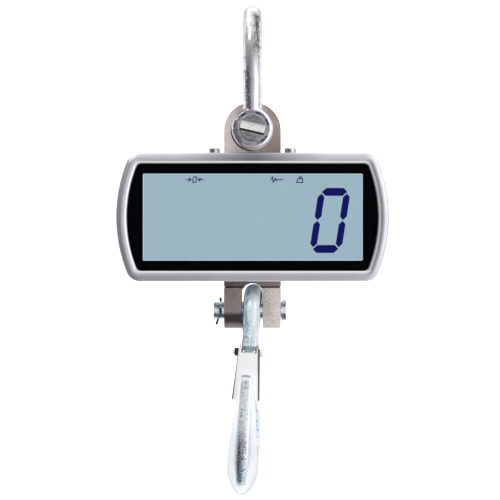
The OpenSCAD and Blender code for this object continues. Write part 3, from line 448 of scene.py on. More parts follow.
def zinc_forging():
    """Bluish zinc over a forging: pale streaked shank, dotted point, flaked bowl with smooth flanks; painted
    reflections by which way faces turn, painted shade at the edges and a strong painted glow.
    """
    s = Shader("zinc_forging", Metallic=1.0)
    place, facing = s.split("Object"), s.split("Normal")
    flakes = s.noise(1.6 * MM, detail=6, rough=0.75)
    cloud = s.noise(14 * MM, detail=4, rough=0.6)
    streaks = s.noise(2.2 * MM, detail=4, rough=0.6, vector=s.mapped((0, 0, 0), (1, 1, 0.16)))
    jitter = s.math("ADD", s.span(flakes, -0.2, 0.2), s.span(streaks, -0.34, 0.34))
    across = s.sweep(facing["X"], jitter)
    edge = s.add("ShaderNodeLayerWeight").outputs["Facing"]
    # Parts of the hook by height: the shank, the point and the upper bowl, and the underside of the bowl
    shank = s.rise(place["Z"], -294 * MM, -284 * MM)
    upper = s.rise(place["Z"], -352 * MM, -330 * MM)
    toe = s.fall(place["Z"], -387 * MM, -381 * MM)
    flank = s.rise(s.absolute(facing["X"]), 0.4, 0.62)
    smooth_part = s.either(flank, toe)
    speckle = s.ramp(flakes, [
        (0.38, (0.09, 0.16, 0.30)), (0.48, (0.46, 0.57, 0.72)), (0.58, (0.95, 0.97, 0.98)),
    ])
    smooth = s.tones(cloud, (0.86, 0.92, 0.95), (0.95, 0.98, 0.99))
    # Painted shade towards the edges, where the faces turn away
    smooth = s.blend(s.rise(edge, 0.72, 0.94, 0.85), smooth, (0.52, 0.57, 0.63))
    smooth_glow = s.tones(cloud, (0.22, 0.235, 0.245), (0.24, 0.25, 0.255))
    # Painted reflection: dark bands by which way each face turns
    mirror = s.ramp(across, [
        (0.2, (0.10, 0.12, 0.15)), (0.4, (0.30, 0.34, 0.36)), (0.8, (0.24, 0.26, 0.28)),
    ])
    base = s.blend(upper, s.blend(smooth_part, speckle, smooth), s.blend(flank, mirror, smooth))
    s.link("Base Color", s.blend(shank, base, mirror))
    # Painted glow, which gives the hook most of its brightness
    bowl = s.blend(smooth_part, BLACK, smooth_glow)
    below_shank = s.blend(upper, bowl, point_glow(s, facing, flakes, flank, edge))
    s.glow(s.blend(shank, below_shank, shank_glow(s, place, facing, across)), 0.62)
    s.link("Roughness", s.span(flakes, 0.22, 0.4))
    s.bump(flakes, 0.1 * MM, 0.6, s.bump(s.noise(10 * MM, detail=2), 0.2 * MM, 0.6))
    return s


def zinc_pin():
    """Bright zinc on turned pins, with painted reflections: dark bands above and below a pale middle, and a
    painted glow.
    """
    s = Shader("zinc_pin", Metallic=1.0)
    jitter = s.span(s.noise(2.5 * MM, detail=4), -0.16, 0.16)
    # Painted reflections: bands by which way each face looks up or down
    tone = s.ramp(s.sweep(s.split("Normal")["Z"], jitter), [
        (0.04, (0.62, 0.70, 0.76)), (0.16, (0.05, 0.08, 0.11)), (0.34, (0.12, 0.18, 0.22)),
        (0.44, (0.72, 0.82, 0.88)), (0.58, (0.86, 0.93, 0.97)), (0.68, (0.34, 0.43, 0.49)),
        (0.78, (0.05, 0.08, 0.10)), (0.94, (0.66, 0.76, 0.82)),
    ])
    s.lit(tone, 0.34)
    fine = s.noise(0.8 * MM, detail=3)
    s.link("Roughness", s.span(fine, 0.14, 0.3))
    s.bump(fine, 0.04 * MM, 0.5)
    return s


def cell_shadow(s, x, z, facing, groove):
    """Painted shadow: black in the clevis's groove, on the walls of the slot and in a crescent under the
    shackle's eye.
    """
    walls = s.both(s.rise(s.absolute(facing["X"]), 0.8, 0.95), s.fall(s.absolute(x), 9.4 * MM, 10.4 * MM))
    under_eye = s.band(s.around(SHACKLE_PIN_Z + 0.8 * MM), 16.8 * MM, 18.3 * MM, 0.5 * MM)
    lower_left = s.fall(s.math("ADD", x, z), SHACKLE_PIN_Z - 21 * MM, SHACKLE_PIN_Z - 13 * MM)
    return s.either(groove, walls, s.both(under_eye, lower_left))


def cell_nickel():
    """Warm nickel plating over a bead-blasted alloy steel block, with painted light and shade: lighter and
    faintly glowing towards one side, browner towards the other, and painted shadows.
    """
    s = Shader("cell_nickel", Metallic=0.25)
    place, facing = s.split("Object"), s.split("Normal")
    x, z = place["X"], place["Z"]
    cloud = s.noise(22 * MM, detail=4, rough=0.6)
    grain = s.noise(1.0 * MM, detail=5, rough=0.75)
    # Painted light and shade: lighter on the left of the lug and the right of the clevis, browner on the
    # other side
    side = s.math("MULTIPLY", x, s.span(z, -1, 1, -220 * MM, -110 * MM))
    lit_to_shaded = s.math("ADD", s.rise(side, -22 * MM, 20 * MM, 0.7), s.span(cloud, 0.0, 0.3))
    tone = s.ramp(lit_to_shaded, [(0.15, (0.96, 0.88, 0.83)), (0.85, (0.44, 0.35, 0.325))])
    glow = s.ramp(lit_to_shaded, [(0.16, (1.0, 0.87, 0.85)), (0.5, (0.16, 0.14, 0.13)), (0.7, BLACK)])
    body = s.blend(s.rise(grain, 0.42, 0.66, 0.85), tone, (0.26, 0.2, 0.18))
    # Painted shade on the left ear below its pin, ending where the light from underneath reaches its round
    # end
    left_ear_shade = s.both(
        s.fall(z, HOOK_PIN_Z - 3.5 * MM, HOOK_PIN_Z), s.rise(z, HOOK_PIN_Z - 12 * MM, HOOK_PIN_Z - 8 * MM),
        s.fall(x, -3 * MM, 3 * MM, 0.9),
    )
    body = s.blend(left_ear_shade, body, (0.02, 0.02, 0.02))
    # Painted shade also in the groove at the top of the clevis and on the collar above it, under the case
    groove_z = CASE_Z - CASE_H / 2 - 5.35 * MM
    groove = s.fall(s.absolute(s.math("SUBTRACT", z, groove_z)), 0.5 * MM, 0.8 * MM)
    collar = s.both(s.rise(z, groove_z, groove_z + 0.5 * MM), s.fall(z, -200 * MM, -190 * MM, 0.7))
    body = s.blend(collar, body, (0.10, 0.07, 0.065))
    shadow = cell_shadow(s, x, z, facing, groove)
    s.link("Base Color", s.blend(shadow, body, (0.004, 0.003, 0.003)))
    # Painted glow on the lit side, none in the painted shadows and on the collar
    s.glow(s.blend(s.either(shadow, collar), glow, BLACK), 0.2)
    s.link("Roughness", s.span(grain, 0.34, 0.5))
    s.bump(grain, 0.2 * MM, 0.7)
    return s


def case_aluminium():
    """Satin silver finish of the castings, very slightly mottled."""
    s = Shader("case_aluminium", Metallic=0.92)
    grain = s.noise(0.35 * MM, detail=3)
    s.link("Base Color", s.tones(s.noise(30 * MM, detail=4), (0.70, 0.70, 0.75), (0.79, 0.79, 0.84)))
    s.link("Roughness", s.span(grain, 0.3, 0.4))
    s.bump(grain, 0.01 * MM, 0.4)
    return s


def latch_steel():
    """Pale plated sheet with a faint painted glow, and painted shade on the sides of the channel and along
    its folds.
    """
    s = Shader("latch_steel", Metallic=0.35)
    place = s.split("Object")
    x, z = place["X"], place["Z"]
    # Painted shade along the folds, where the sides are seen edge on: broad on the right, thin on the
    # slanting left
    right_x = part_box("latch")[1].x - 2.3 * MM
    left_x, left_slant = 21.2 * MM, 0.119
    walls = s.rise(s.absolute(s.split("Normal")["X"]), 0.35, 0.7)
    right = s.rise(x, right_x, right_x + 0.4 * MM)
    left = s.fall(s.math("SUBTRACT", x, s.math("MULTIPLY", z, left_slant)), left_x, left_x + 0.5 * MM)
    side = s.either(walls, right, left)
    tint = s.tones(s.noise(7 * MM, detail=4), (0.885, 0.89, 0.895), (0.95, 0.955, 0.96))
    s.link("Base Color", s.blend(side, tint, (0.20, 0.15, 0.135)))
    # Painted glow, none on the shaded sides
    s.glow(s.blend(side, tint, (0.02, 0.015, 0.012)), 0.3)
    fine = s.noise(0.6 * MM, detail=3)
    s.link("Roughness", s.span(fine, 0.28, 0.42))
    s.bump(fine, 0.02 * MM, 0.5)
    return s


def bezel_aluminium():
    """Satin silver of the front casting, with painted shade along the middle of its top and a faint painted
    glow on the top either side of it.
    """
    s = Shader("bezel_aluminium", Metallic=0.85)
    place = s.split("Object")
    # Painted shade along the middle of the top, and a painted glow on the top either side of it
    away = s.rise(s.absolute(place["X"]), 4 * MM, 62 * MM)
    low = s.fall(place["Z"], CASE_Z, CASE_Z + 40 * MM)
    top = s.rise(place["Z"], CASE_Z + 44 * MM, CASE_Z + 48 * MM)
    satin = s.tones(s.noise(26 * MM, detail=5), (0.74, 0.74, 0.79), (0.83, 0.83, 0.88))
    s.link("Base Color", s.blend(s.either(away, low), (0.34, 0.34, 0.37), satin))
    s.glow(s.blend(s.both(top, away), BLACK, satin), 0.17)
    grain = s.noise(0.35 * MM, detail=3)
    s.link("Roughness", s.span(grain, 0.28, 0.38))
    s.bump(grain, 0.01 * MM, 0.4)
    return s


def polished_rim():
    """Bevel round the glass, cut bright after the casting was finished, with a painted white glow."""
    s = Shader("polished_rim", Metallic=1.0)
    lines = s.noise(0.5 * MM, detail=2)
    s.link("Base Color", s.tones(lines, (0.93, 0.93, 0.92), (0.98, 0.98, 0.98)))
    s.link("Roughness", s.span(lines, 0.14, 0.24))
    s.glow(WHITE, 0.3)
    return s


def display_glass():
    """Clear flat glass: lets everything through except what it mirrors at its surface."""
    s = Shader("display_glass")
    mirror = s.add("ShaderNodeBsdfGlossy")
    s.wire(mirror, "Roughness", s.span(s.noise(18 * MM, detail=4), 0.02, 0.05))
    # Mirrors almost nothing seen squarely, and more the more it is seen from the side
    facing = s.add("ShaderNodeLayerWeight").outputs["Facing"]
    mirroring = ((0.0, 0.004), (0.45, 0.012), (0.75, 0.09), (1.0, 0.7))
    mix = s.add("ShaderNodeMixShader")
    s.wire(mix, 0, s.ramp(facing, [(position, (share, share, share)) for position, share in mirroring]))
    s.wire(mix, 1, s.add("ShaderNodeBsdfTransparent").outputs[0])
    s.wire(mix, 2, mirror.outputs[0])
    s.wire(s.tree.nodes["Material Output"], "Surface", mix.outputs[0])
    s.tree.nodes.remove(s.bsdf)
    return s


def lcd_face():
    """Backlit blue-grey reflective panel with a faint grain."""
    s = Shader("lcd_face")
    grain = s.noise(0.5 * MM, detail=2)
    s.lit(s.tones(grain, (0.300, 0.430, 0.510), (0.325, 0.455, 0.535)), 0.385)
    s.link("Roughness", s.span(grain, 0.3, 0.4))
    return s


def lcd_ink():
    """Driven segments: deep navy, without a sheen of their own."""
    s = Shader("lcd_ink", Specular_IOR_Level=0.0)
    grain = s.noise(0.8 * MM, detail=2)
    s.lit(s.tones(grain, (0.004, 0.005, 0.090), (0.006, 0.007, 0.115)), 0.45)
    s.link("Roughness", s.span(grain, 0.35, 0.45))
    return s


def glass_print():
    """Black enamel on the back of the glass."""
    s = Shader("glass_print", Specular_IOR_Level=0.0)
    grain = s.noise(4 * MM, detail=4)
    s.link("Base Color", s.tones(grain, (0.0008, 0.0009, 0.0016), (0.0014, 0.0015, 0.0026)))
    s.link("Roughness", s.span(grain, 0.5, 0.6))
    return s


def lcd_edge():
    """Cut edge of the panel, where its backlight leaks out."""
    s = Shader("lcd_edge_light")
    grain = s.noise(3 * MM, detail=3)
    s.lit(s.tones(grain, (0.50, 0.62, 0.66), (0.58, 0.70, 0.74)), 0.6)
    s.link("Roughness", s.span(grain, 0.35, 0.5))
    return s


def circuit_board():
    """Green solder mask over fine straight tracks and small pads."""
    s = Shader("circuit_board", Coat_Weight=0.3)
    tracks = s.cells(3 * MM, feature="DISTANCE_TO_EDGE", randomness=0.0)
    s.link("Base Color", s.ramp(tracks, [(0.05, (0.05, 0.30, 0.12)), (0.12, (0.01, 0.12, 0.05))]))
    s.link("Roughness", s.span(s.cells(1.5 * MM, randomness=0.2), 0.25, 0.45, 0.0, 0.8))
    s.bump(tracks, 0.04 * MM, 0.5)
    return s


def slot_bright():
    """Milled floor of the slot in the shackle pin, with a painted white glow."""
    s = metal("pin_slot_milled", (0.22, 0.22, 0.21), (1.0, 1.0, 0.97), 1.4 * MM, (0.4, 0.6), metallic=0.0)
    s.glow(WHITE, 0.34)
    return s


def slot_grime():
    """Painted shadow along the slot's lower wall."""
    dark, light = (0.004, 0.004, 0.004), (0.02, 0.018, 0.016)
    return metal("pin_slot_painted_shadow", dark, light, 1 * MM, (0.5, 0.7), metallic=0.0)


def bolt_zinc():
    """Bright zinc on the latch bolt's head, with a painted white glow."""
    s = metal("latch_bolt_zinc", (0.62, 0.66, 0.70), (0.97, 0.98, 0.99), 1.2 * MM, (0.1, 0.2))
    s.glow(WHITE, 0.4)
    return s


# Dark and light colour, width of their patches, range of roughness, and stretch of a brushed grain
METALS = {
    "pin_steel": ((0.20, 0.20, 0.22), (0.66, 0.66, 0.68), 1.6 * MM, (0.26, 0.42)),
    "gauge_foil": ((0.55, 0.30, 0.10), (0.72, 0.45, 0.18), 1 * MM, (0.3, 0.45)),
    "steel_sheet": ((0.55, 0.55, 0.56), (0.68, 0.68, 0.69), 12 * MM, (0.3, 0.42), 1.0, (1, 1, 0.1)),
    "screw_black": ((0.62, 0.56, 0.53), (0.90, 0.87, 0.85), 2 * MM, (0.06, 0.14)),
    "screw_zinc": ((0.60, 0.62, 0.64), (0.80, 0.82, 0.84), 2 * MM, (0.22, 0.36)),
    "brass_spacer": ((0.62, 0.46, 0.20), (0.75, 0.58, 0.28), 2 * MM, (0.25, 0.38)),
    "button_steel": ((0.62, 0.62, 0.63), (0.74, 0.74, 0.75), 3 * MM, (0.18, 0.3)),
    "plate_aluminium": ((0.74, 0.74, 0.74), (0.83, 0.83, 0.83), 6 * MM, (0.28, 0.42), 1.0, (0.06, 1, 1)),
    "spring_wire": ((0.30, 0.30, 0.31), (0.46, 0.46, 0.47), 1 * MM, (0.25, 0.4)),
}
# Colour, roughness, and width of the grain where it isn't the usual one
PLASTICS = {
    "cable_jacket": ((0.045, 0.045, 0.05), 0.5),
    "seal_rubber": ((0.03, 0.03, 0.032), 0.62),
    "diffuser_plastic": ((0.85, 0.86, 0.84), 0.4),
    "zebra_rubber": ((0.55, 0.28, 0.30), 0.6, 0.3 * MM),
    "ribbon_film": ((0.62, 0.62, 0.60), 0.35),
    "black_plastic": ((0.025, 0.025, 0.027), 0.45),
    "connector_plastic": ((0.74, 0.71, 0.62), 0.42),
    "battery_sleeve": ((0.06, 0.16, 0.34), 0.3),
    "lead_red": ((0.42, 0.03, 0.03), 0.42),
}


def build_materials():
    """One material for each of the record's slots."""
    made = {name: metal(name, *values) for name, values in METALS.items()}
    made.update({name: plastic(name, *values) for name, values in PLASTICS.items()})
    for make in (
        forged_plated, cell_nickel, case_aluminium, display_glass, lcd_face, circuit_board, zinc_pin,
        zinc_forging, latch_steel,
    ):
        made[make.__name__] = make()
    return made


# ---------------- mesh helpers


def place_mesh(name, mesh):
    obj = bpy.data.objects.new(name, mesh)
    bpy.context.scene.collection.objects.link(obj)
    return obj


def close_mesh(name, bm):
    """Turns a finished bmesh into an object whose faces all look outwards."""
    bmesh.ops.recalc_face_normals(bm, faces=bm.faces)
    mesh = bpy.data.meshes.new(name)
    bm.to_mesh(mesh)
    bm.free()
    return place_mesh(name, mesh)


def skin(bm, rings, closed=False):
    """Skin through rings of equally many vertices, capped unless it closes on itself."""
    count = len(rings[0])
    following = rings[1:] + rings[:1] if closed else rings[1:]
    for a, b in zip(rings, following):
        for k in range(count):
            bm.faces.new((a[k], a[(k + 1) % count], b[(k + 1) % count], b[k]))
    if not closed:
        bm.faces.new(list(reversed(rings[0])))
        bm.faces.new(rings[-1])


def attach(obj, paint, body):
    """Gives a finished piece its material and the body that it rides on."""
    obj.data.materials.append(paint.material)
    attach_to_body(obj, body)


def smooth_group():
    """Node group that shades smooth, keeping edges sharper than 32 degrees crisp."""
    group = bpy.data.node_groups.new("smooth_by_angle", "GeometryNodeTree")
    group.interface.new_socket("Geometry", in_out="INPUT", socket_type="NodeSocketGeometry")
    group.interface.new_socket("Geometry", in_out="OUTPUT", socket_type="NodeSocketGeometry")
    nodes, links = group.nodes, group.links
    start = nodes.new("NodeGroupInput")
    end = nodes.new("NodeGroupOutput")
    drop = nodes.new("GeometryNodeRemoveAttribute")
    drop.inputs["Name"].default_value = "custom_normal"
    faces = nodes.new("GeometryNodeSetShadeSmooth")
    edges = nodes.new("GeometryNodeSetShadeSmooth")
    edges.domain = "EDGE"
    angle = nodes.new("GeometryNodeInputMeshEdgeAngle")
    compare = nodes.new("FunctionNodeCompare")
    compare.operation = "LESS_EQUAL"
    compare.inputs["B"].default_value = math.radians(32)
    links.new(start.outputs[0], drop.inputs["Geometry"])
    links.new(drop.outputs[0], faces.inputs["Geometry"])
    links.new(faces.outputs[0], edges.inputs["Geometry"])
    links.new(angle.outputs["Unsigned Angle"], compare.inputs["A"])
    links.new(compare.outputs[0], edges.inputs["Shade Smooth"])
    links.new(edges.outputs[0], end.inputs[0])
    return group


SMOOTH = smooth_group()


def shade(obj):
    modifier = obj.modifiers.new("smooth_by_angle", "NODES")
    modifier.node_group = SMOOTH


def weld(obj):
    modifier = obj.modifiers.new("weld", "WELD")
    modifier.merge_threshold = 0.002 * MM


def soften(obj, width):
    """Rounds the hard edges of a machined solid."""
    weld(obj)
    flat = obj.modifiers.new("flat", "DECIMATE")
    flat.decimate_type = "DISSOLVE"
    flat.angle_limit = math.radians(0.6)
    bevel = obj.modifiers.new("edge", "BEVEL")
    bevel.width = width
    bevel.segments = 2
    bevel.limit_method = "ANGLE"
    bevel.angle_limit = math.radians(35)
    shade(obj)
    flatten = obj.modifiers.new("flatten", "WEIGHTED_NORMAL")
    flatten.keep_sharp = True


def forge(obj, voxel, passes):
    """Melts facets and seams into one smooth forged skin."""
    weld(obj)
    remesh = obj.modifiers.new("skin", "REMESH")
    remesh.mode = "VOXEL"
    remesh.voxel_size = voxel
    remesh.use_smooth_shade = True
    relax = obj.modifiers.new("relax", "SMOOTH")
    relax.factor = 0.5
    relax.iterations = passes
    swell = obj.modifiers.new("swell", "DISPLACE")
    swell.strength = 0.2 * MM
    swell.mid_level = 0


# ---------------- case front


def arc(cx, cz, radius, start, stop):
    angles = [start + (stop - start) * i / ARC_STEPS for i in range(ARC_STEPS + 1)]
    return [(cx + radius * math.cos(a), cz + radius * math.sin(a)) for a in angles]


def outline(inset, corner):
    """Points round the case: bulged sides, straight top and bottom, tangent corners."""
    radius = SIDE_R - inset
    side_x = CASE_W / 2 - SIDE_R
    cz = CASE_H / 2 - inset - corner
    cx = side_x + math.sqrt((radius - corner) ** 2 - cz * cz)
    meet = math.atan2(cz, cx - side_x)
    quarter = arc(side_x, 0, radius, 0, meet) + arc(cx, cz, corner, meet, math.pi / 2)[1:]
    left = [(-x, z) for x, z in reversed(quarter)]
    below = [(-x, -z) for x, z in quarter[1:]]
    right = [(x, -z) for x, z in reversed(quarter[1:])]
    return quarter + left + below + right


def distance_in(point):
    """How far a point lies inside the case outline."""
    x, z = abs(point.x), abs(point.z - CASE_Z)
    side = SIDE_R - math.hypot(x - (CASE_W / 2 - SIDE_R), z)
    return min(side, CASE_H / 2 - z)


def swept(name, profile, closed):
    """Skin through the case's outline at (inset, y, corner) stations."""
    bm = bmesh.new()
    rings = [
        [bm.verts.new((x, y, CASE_Z + z)) for x, z in outline(inset, corner)]
        for inset, y, corner in profile
    ]
    skin(bm, rings, closed)
    return close_mesh(name, bm)


def bezel_corner(inset):
    """Corner radius of the bezel's outline, tightening inwards to the corner of the glass."""
    return max(CORNER_R - 0.85 * inset, GLASS_CORNER)


def build_bezel():
    """Cast rim: rounded shoulder, crowned satin band, a fine step and a bright bevel down to the glass."""
    shoulder = 2.4 * MM
    bevel_w = 2.1 * MM
    band_drop = 0.35 * MM
    step_drop = 0.3 * MM
    ledge_w = 4 * MM
    edge = RIM_W - bevel_w
    band_w = edge - shoulder
    ledge_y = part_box("glass_seal")[1].y
    steps = 8
    stations = [(0, BEZEL_HIGH.y)]
    for i in range(steps + 1):
        a = math.pi / 2 * i / steps
        stations.append((shoulder * (1 - math.cos(a)), FRONT_Y + band_drop + (shoulder * (1 - math.sin(a)))))
    for i in range(1, steps + 1):
        t = i / steps
        stations.append((shoulder + band_w * t, FRONT_Y + band_drop * (1 - math.sin(math.pi * t))))
    stations += [
        (edge + 0.12 * MM, FRONT_Y + band_drop + step_drop),
        (edge + 0.35 * MM, FRONT_Y + band_drop + step_drop),
        (RIM_W - 0.15 * MM, GLASS_LOW.y + 0.2 * MM),
        (RIM_W - 0.15 * MM, ledge_y),
        (RIM_W + ledge_w, ledge_y),
        (RIM_W + ledge_w, BEZEL_HIGH.y),
    ]
    obj = swept("bezel_casting", [(i, y, bezel_corner(i)) for i, y in stations], closed=True)
    obj.data.materials.append(bezel_aluminium().material)
    obj.data.materials.append(polished_rim().material)
    # The bevel's faces slope towards the viewer, in from the satin band and in front of the glass
    for face in obj.data.polygons:
        ahead = face.center.y <= GLASS_LOW.y + 0.15 * MM
        slopes = 0.2 < -face.normal.y < 0.97
        if ahead and slopes and distance_in(face.center) > edge + 0.2 * MM:
            face.material_index = 1
    shade(obj)
    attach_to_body(obj, "scale")
    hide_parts("front_bezel")


def build_glass():
    """Flat pane with small chamfers all round."""
    chamfer = 0.25 * MM
    low, high = GLASS_LOW.y, GLASS_HIGH.y
    stations = [
        (RIM_W + chamfer, low), (RIM_W, low + chamfer), (RIM_W, high - chamfer), (RIM_W + chamfer, high),
    ]
    obj = swept("front_glass", [(i, y, GLASS_CORNER) for i, y in stations], closed=False)
    obj.data.materials.append(MATERIALS["display_glass"].material)
    shade(obj)
    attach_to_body(obj, "scale")
    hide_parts("display_glass")


def window_loop(grow):
    """Points round the clear window, grown on every side; its corners have six steps each."""
    half_w, half_h = WINDOW_W / 2 + grow, WINDOW_H / 2 + grow
    radius = 1.0 * MM + max(grow, 0)
    points = []
    for sx, sz, start in ((1, 1, 0), (-1, 1, 90), (-1, -1, 180), (1, -1, 270)):
        for a in (math.radians(start + 15 * i) for i in range(7)):
            x = sx * (half_w - radius) + radius * math.cos(a)
            z = sz * (half_h - radius) + radius * math.sin(a)
            points.append((WINDOW_X + x, CASE_Z + z))
    return points


def flat_ring(name, outer, inner, y0, y1):
    """Plate between two loops of (x, z) points, from y0 to y1, with walls all round."""
    bm = bmesh.new()
    edges = []
    for points in (outer, inner):
        verts = [bm.verts.new((x, y0, z)) for x, z in points]
        edges += [bm.edges.new((verts[i], verts[(i + 1) % len(verts)])) for i in range(len(verts))]
    bmesh.ops.triangle_fill(bm, use_beauty=True, edges=edges)
    grown = bmesh.ops.extrude_face_region(bm, geom=list(bm.faces))
    moved = [v for v in grown["geom"] if isinstance(v, bmesh.types.BMVert)]
    bmesh.ops.translate(bm, verts=moved, vec=(0, y1 - y0, 0))
    return close_mesh(name, bm)


def build_print():
    """Black print on the back of the glass, with the clear window in its middle."""
    outer = [(x, CASE_Z + z) for x, z in outline(RIM_W + 0.2 * MM, GLASS_CORNER)]
    y0 = GLASS_HIGH.y - 0.09 * MM
    obj = flat_ring("glass_print", outer, window_loop(0), y0, y0 + 0.08 * MM)
    attach(obj, glass_print(), "scale")


def build_lcd_rim():
    """Paler line where the edge of the panel catches the backlight."""
    y0 = LCD_LOW.y - 0.06 * MM
    obj = flat_ring("lcd_edge_light", window_loop(0.5 * MM), window_loop(-0.45 * MM), y0, y0 + 0.05 * MM)
    attach(obj, lcd_edge(), "scale")


# ---------------- display segments


def prism(bm, points, centre):
    """Thin plate on the panel's face; its (x, z) points are about a centre and lean right as they rise."""
    placed = [(centre[0] + x + SLANT * z, centre[1] + z) for x, z in points]
    near = [bm.verts.new((x, LCD_LOW.y - INK_T, z)) for x, z in placed]
    far = [bm.verts.new((x, LCD_LOW.y, z)) for x, z in placed]
    bm.faces.new(near)
    bm.faces.new(list(reversed(far)))
    for i in range(len(points)):
        j = (i + 1) % len(points)
        bm.faces.new((near[j], near[i], far[i], far[j]))


def bar(start, stop, half, tip):
    """Six-sided segment from one pointed end to the other."""
    a, b = Vector(start), Vector(stop)
    along = (b - a).normalized()
    across = Vector((-along.y, along.x)) * half
    step = along * tip
    near, far = a + step, b - step
    return [tuple(p) for p in (a, near + across, far + across, b, far - across, near - across)]


def stroke(bm, points, centre):
    """Thin line through points given in millimetres, as one plate for each stretch."""
    half = 0.375 * MM
    for start, stop in zip(points, points[1:]):
        a, b = Vector(start) * MM, Vector(stop) * MM
        along = (b - a).normalized() * half
        across = Vector((-along.y, along.x))
        ends = (a - along + across, b + along + across, b + along - across, a - along - across)
        prism(bm, [tuple(p) for p in ends], centre)


def build_digit(bm):
    """A seven-segment zero at the right of the panel."""
    centre = (63.9 * MM, CASE_Z - 2.7 * MM)
    column, row = 10.45 * MM, 23.5 * MM
    # Half the thickness of the level and the standing segments, and the length of their points
    half_row, half_column = 3.25 * MM, 2.75 * MM
    tip_row, tip_column = 3.3 * MM, 2.9 * MM
    middle_gap, corner_gap = 0.3 * MM, 1.4 * MM
    for side in (-1, 1):
        prism(bm, bar((-column, side * row), (column, side * row), half_row, tip_row), centre)
        for half in (-1, 1):
            start, stop = [(side * column, half * z) for z in (middle_gap, row - corner_gap)]
            prism(bm, bar(start, stop, half_column, tip_column), centre)


def build_symbols(bm):
    """Small generic marks along the top: zero set, steady, and unit of mass."""
    height = CASE_Z + 30.9 * MM
    zero, steady, weight = [(x * MM, height) for x in (-47.6, 20.0, 39.2)]
    # A nought between two arrows
    stroke(bm, (
        (-0.7, 2.3), (0.7, 2.3), (1.5, 1.3), (1.5, -1.3), (0.7, -2.3),
        (-0.7, -2.3), (-1.5, -1.3), (-1.5, 1.3), (-0.7, 2.3),
    ), zero)
    for side in (-1, 1):
        stroke(bm, ((side * 6.8, 0), (side * 3.2, 0)), zero)
        stroke(bm, ((side * 4.6, 1.3), (side * 3.1, 0), (side * 4.6, -1.3)), zero)
    # A swing that settles
    stroke(bm, ((-4.9, 0), (-3.9, 2.2), (-2.6, -2.2), (-1.4, 1.3), (-0.4, -1.0), (0.5, 0), (4.9, 0)), steady)
    # A weight with its handle
    stroke(bm, ((-2.6, -2.3), (2.6, -2.3), (1.8, 0.7), (-1.8, 0.7), (-2.6, -2.3)), weight)
    stroke(bm, ((-0.9, 0.7), (-0.9, 1.9), (-0.3, 2.4), (0.3, 2.4), (0.9, 1.9), (0.9, 0.7)), weight)


def build_segments():
    """Everything that the panel shows."""
    bm = bmesh.new()
    build_digit(bm)
    build_symbols(bm)
    attach(close_mesh("lcd_segments", bm), lcd_ink(), "scale")


# ---------------- wire, screws and turned pieces


def tube(bm, points, radius, sides):
    """Round wire through the points, with closed ends."""
    path = [Vector(p) for p in points]
    normal = None
    rings = []
    for i, point in enumerate(path):
        ahead = path[min(i + 1, len(path) - 1)] - path[max(i - 1, 0)]
        ahead.normalize()
        if normal is None:
            normal = ahead.orthogonal().normalized()
        normal = (normal - ahead * normal.dot(ahead)).normalized()
        side = ahead.cross(normal)
        rings.append([
            bm.verts.new(point + radius * (math.cos(a) * normal + math.sin(a) * side))
            for a in (2 * math.pi * k / sides for k in range(sides))
        ])
    skin(bm, rings)


def lathe(bm, profile, place, ripple, sides=60):
    """Turns (radius, height) points about the local Z of place; ripple gives the radius on each side."""
    rings = []
    for radius, height in profile:
        ring = []
        for k in range(sides):
            a = 2 * math.pi * k / sides
            r = ripple(k, radius, height)
            ring.append(bm.verts.new(place @ Vector((r * math.cos(a), r * math.sin(a), height))))
        rings.append(ring)
    skin(bm, rings)


def turned(axis, origin):
    """Frame whose local Z points along axis."""
    return Matrix.Translation(origin) @ Vector(axis).to_track_quat("Z", "Y").to_matrix().to_4x4()


def finish_mesh(bm, name, body, slot, replaced, paint=None):
    """Closes a piece that stands for a whole node; its paint is its slot's own unless one is given."""
    obj = close_mesh(name, bm)
    attach(obj, paint or MATERIALS[slot], body)
    shade(obj)
    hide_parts(replaced)


def build_pin_slot():
    """Milled bright floor of the slot across the shackle pin's head, with a painted glow, and a painted
    shadow along the lower wall.
    """
    low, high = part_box("shackle_pin")
    floor_y = low.y + 3.5 * MM
    half_h = 4.2 * MM
    half_w = math.sqrt((high.z - low.z) ** 2 / 4 - half_h ** 2) - 0.35 * MM
    wall_top = -half_h + 2.1 * MM
    turn = Matrix.Translation((0, 0, SHACKLE_PIN_Z)) @ Matrix.Rotation(math.radians(13), 4, "Y")
    steps = 24
    for name, bottom, top, thick, paint in (
        ("pin_slot_floor", wall_top, half_h, 0.12 * MM, slot_bright()),
        ("pin_slot_shadow", -half_h, wall_top, 0.1 * MM, slot_grime()),
    ):
        corners = ((floor_y - thick, bottom), (floor_y - thick, top), (floor_y, top), (floor_y, bottom))
        bm = bmesh.new()
        skin(bm, [
            [bm.verts.new(turn @ Vector((half_w * (2 * i / steps - 1), y, z))) for y, z in corners]
            for i in range(steps + 1)
        ])
        attach(close_mesh(name, bm), paint, "shackle")


def socket_screw(bm, place, head_d, head_h, key, thread_d, length):
    """Socket-cap screw with a knurled head, a round recess and a ridged thread, pointing down local Z."""
    r = head_d / 2
    knurl = 0.008 * head_d
    turns = int(length / (0.16 * thread_d))

    def ripple(side, radius, height):
        knurled = 0.12 * head_h < height < 0.84 * head_h and radius > r * 0.99
        return radius - knurl * (side % 2) if knurled else radius

    profile = [(thread_d * 0.36, -length)]
    for i in range(turns):
        z = -length + length * 0.92 * (i + 0.5) / turns
        profile += [(thread_d / 2, z), (thread_d * 0.43, z + length * 0.46 / turns)]
    profile += [
        (thread_d * 0.5, -0.04 * length), (thread_d * 0.5, 0), (r * 0.93, 0), (r, 0.1 * head_h),
        (r, 0.14 * head_h), (r, 0.82 * head_h), (r, 0.88 * head_h), (r * 0.92, head_h), (key * 0.62, head_h),
        (key * 0.55, 0.94 * head_h), (key * 0.52, 0.5 * head_h), (key * 0.3, 0.42 * head_h),
    ]
    lathe(bm, profile, place, ripple)


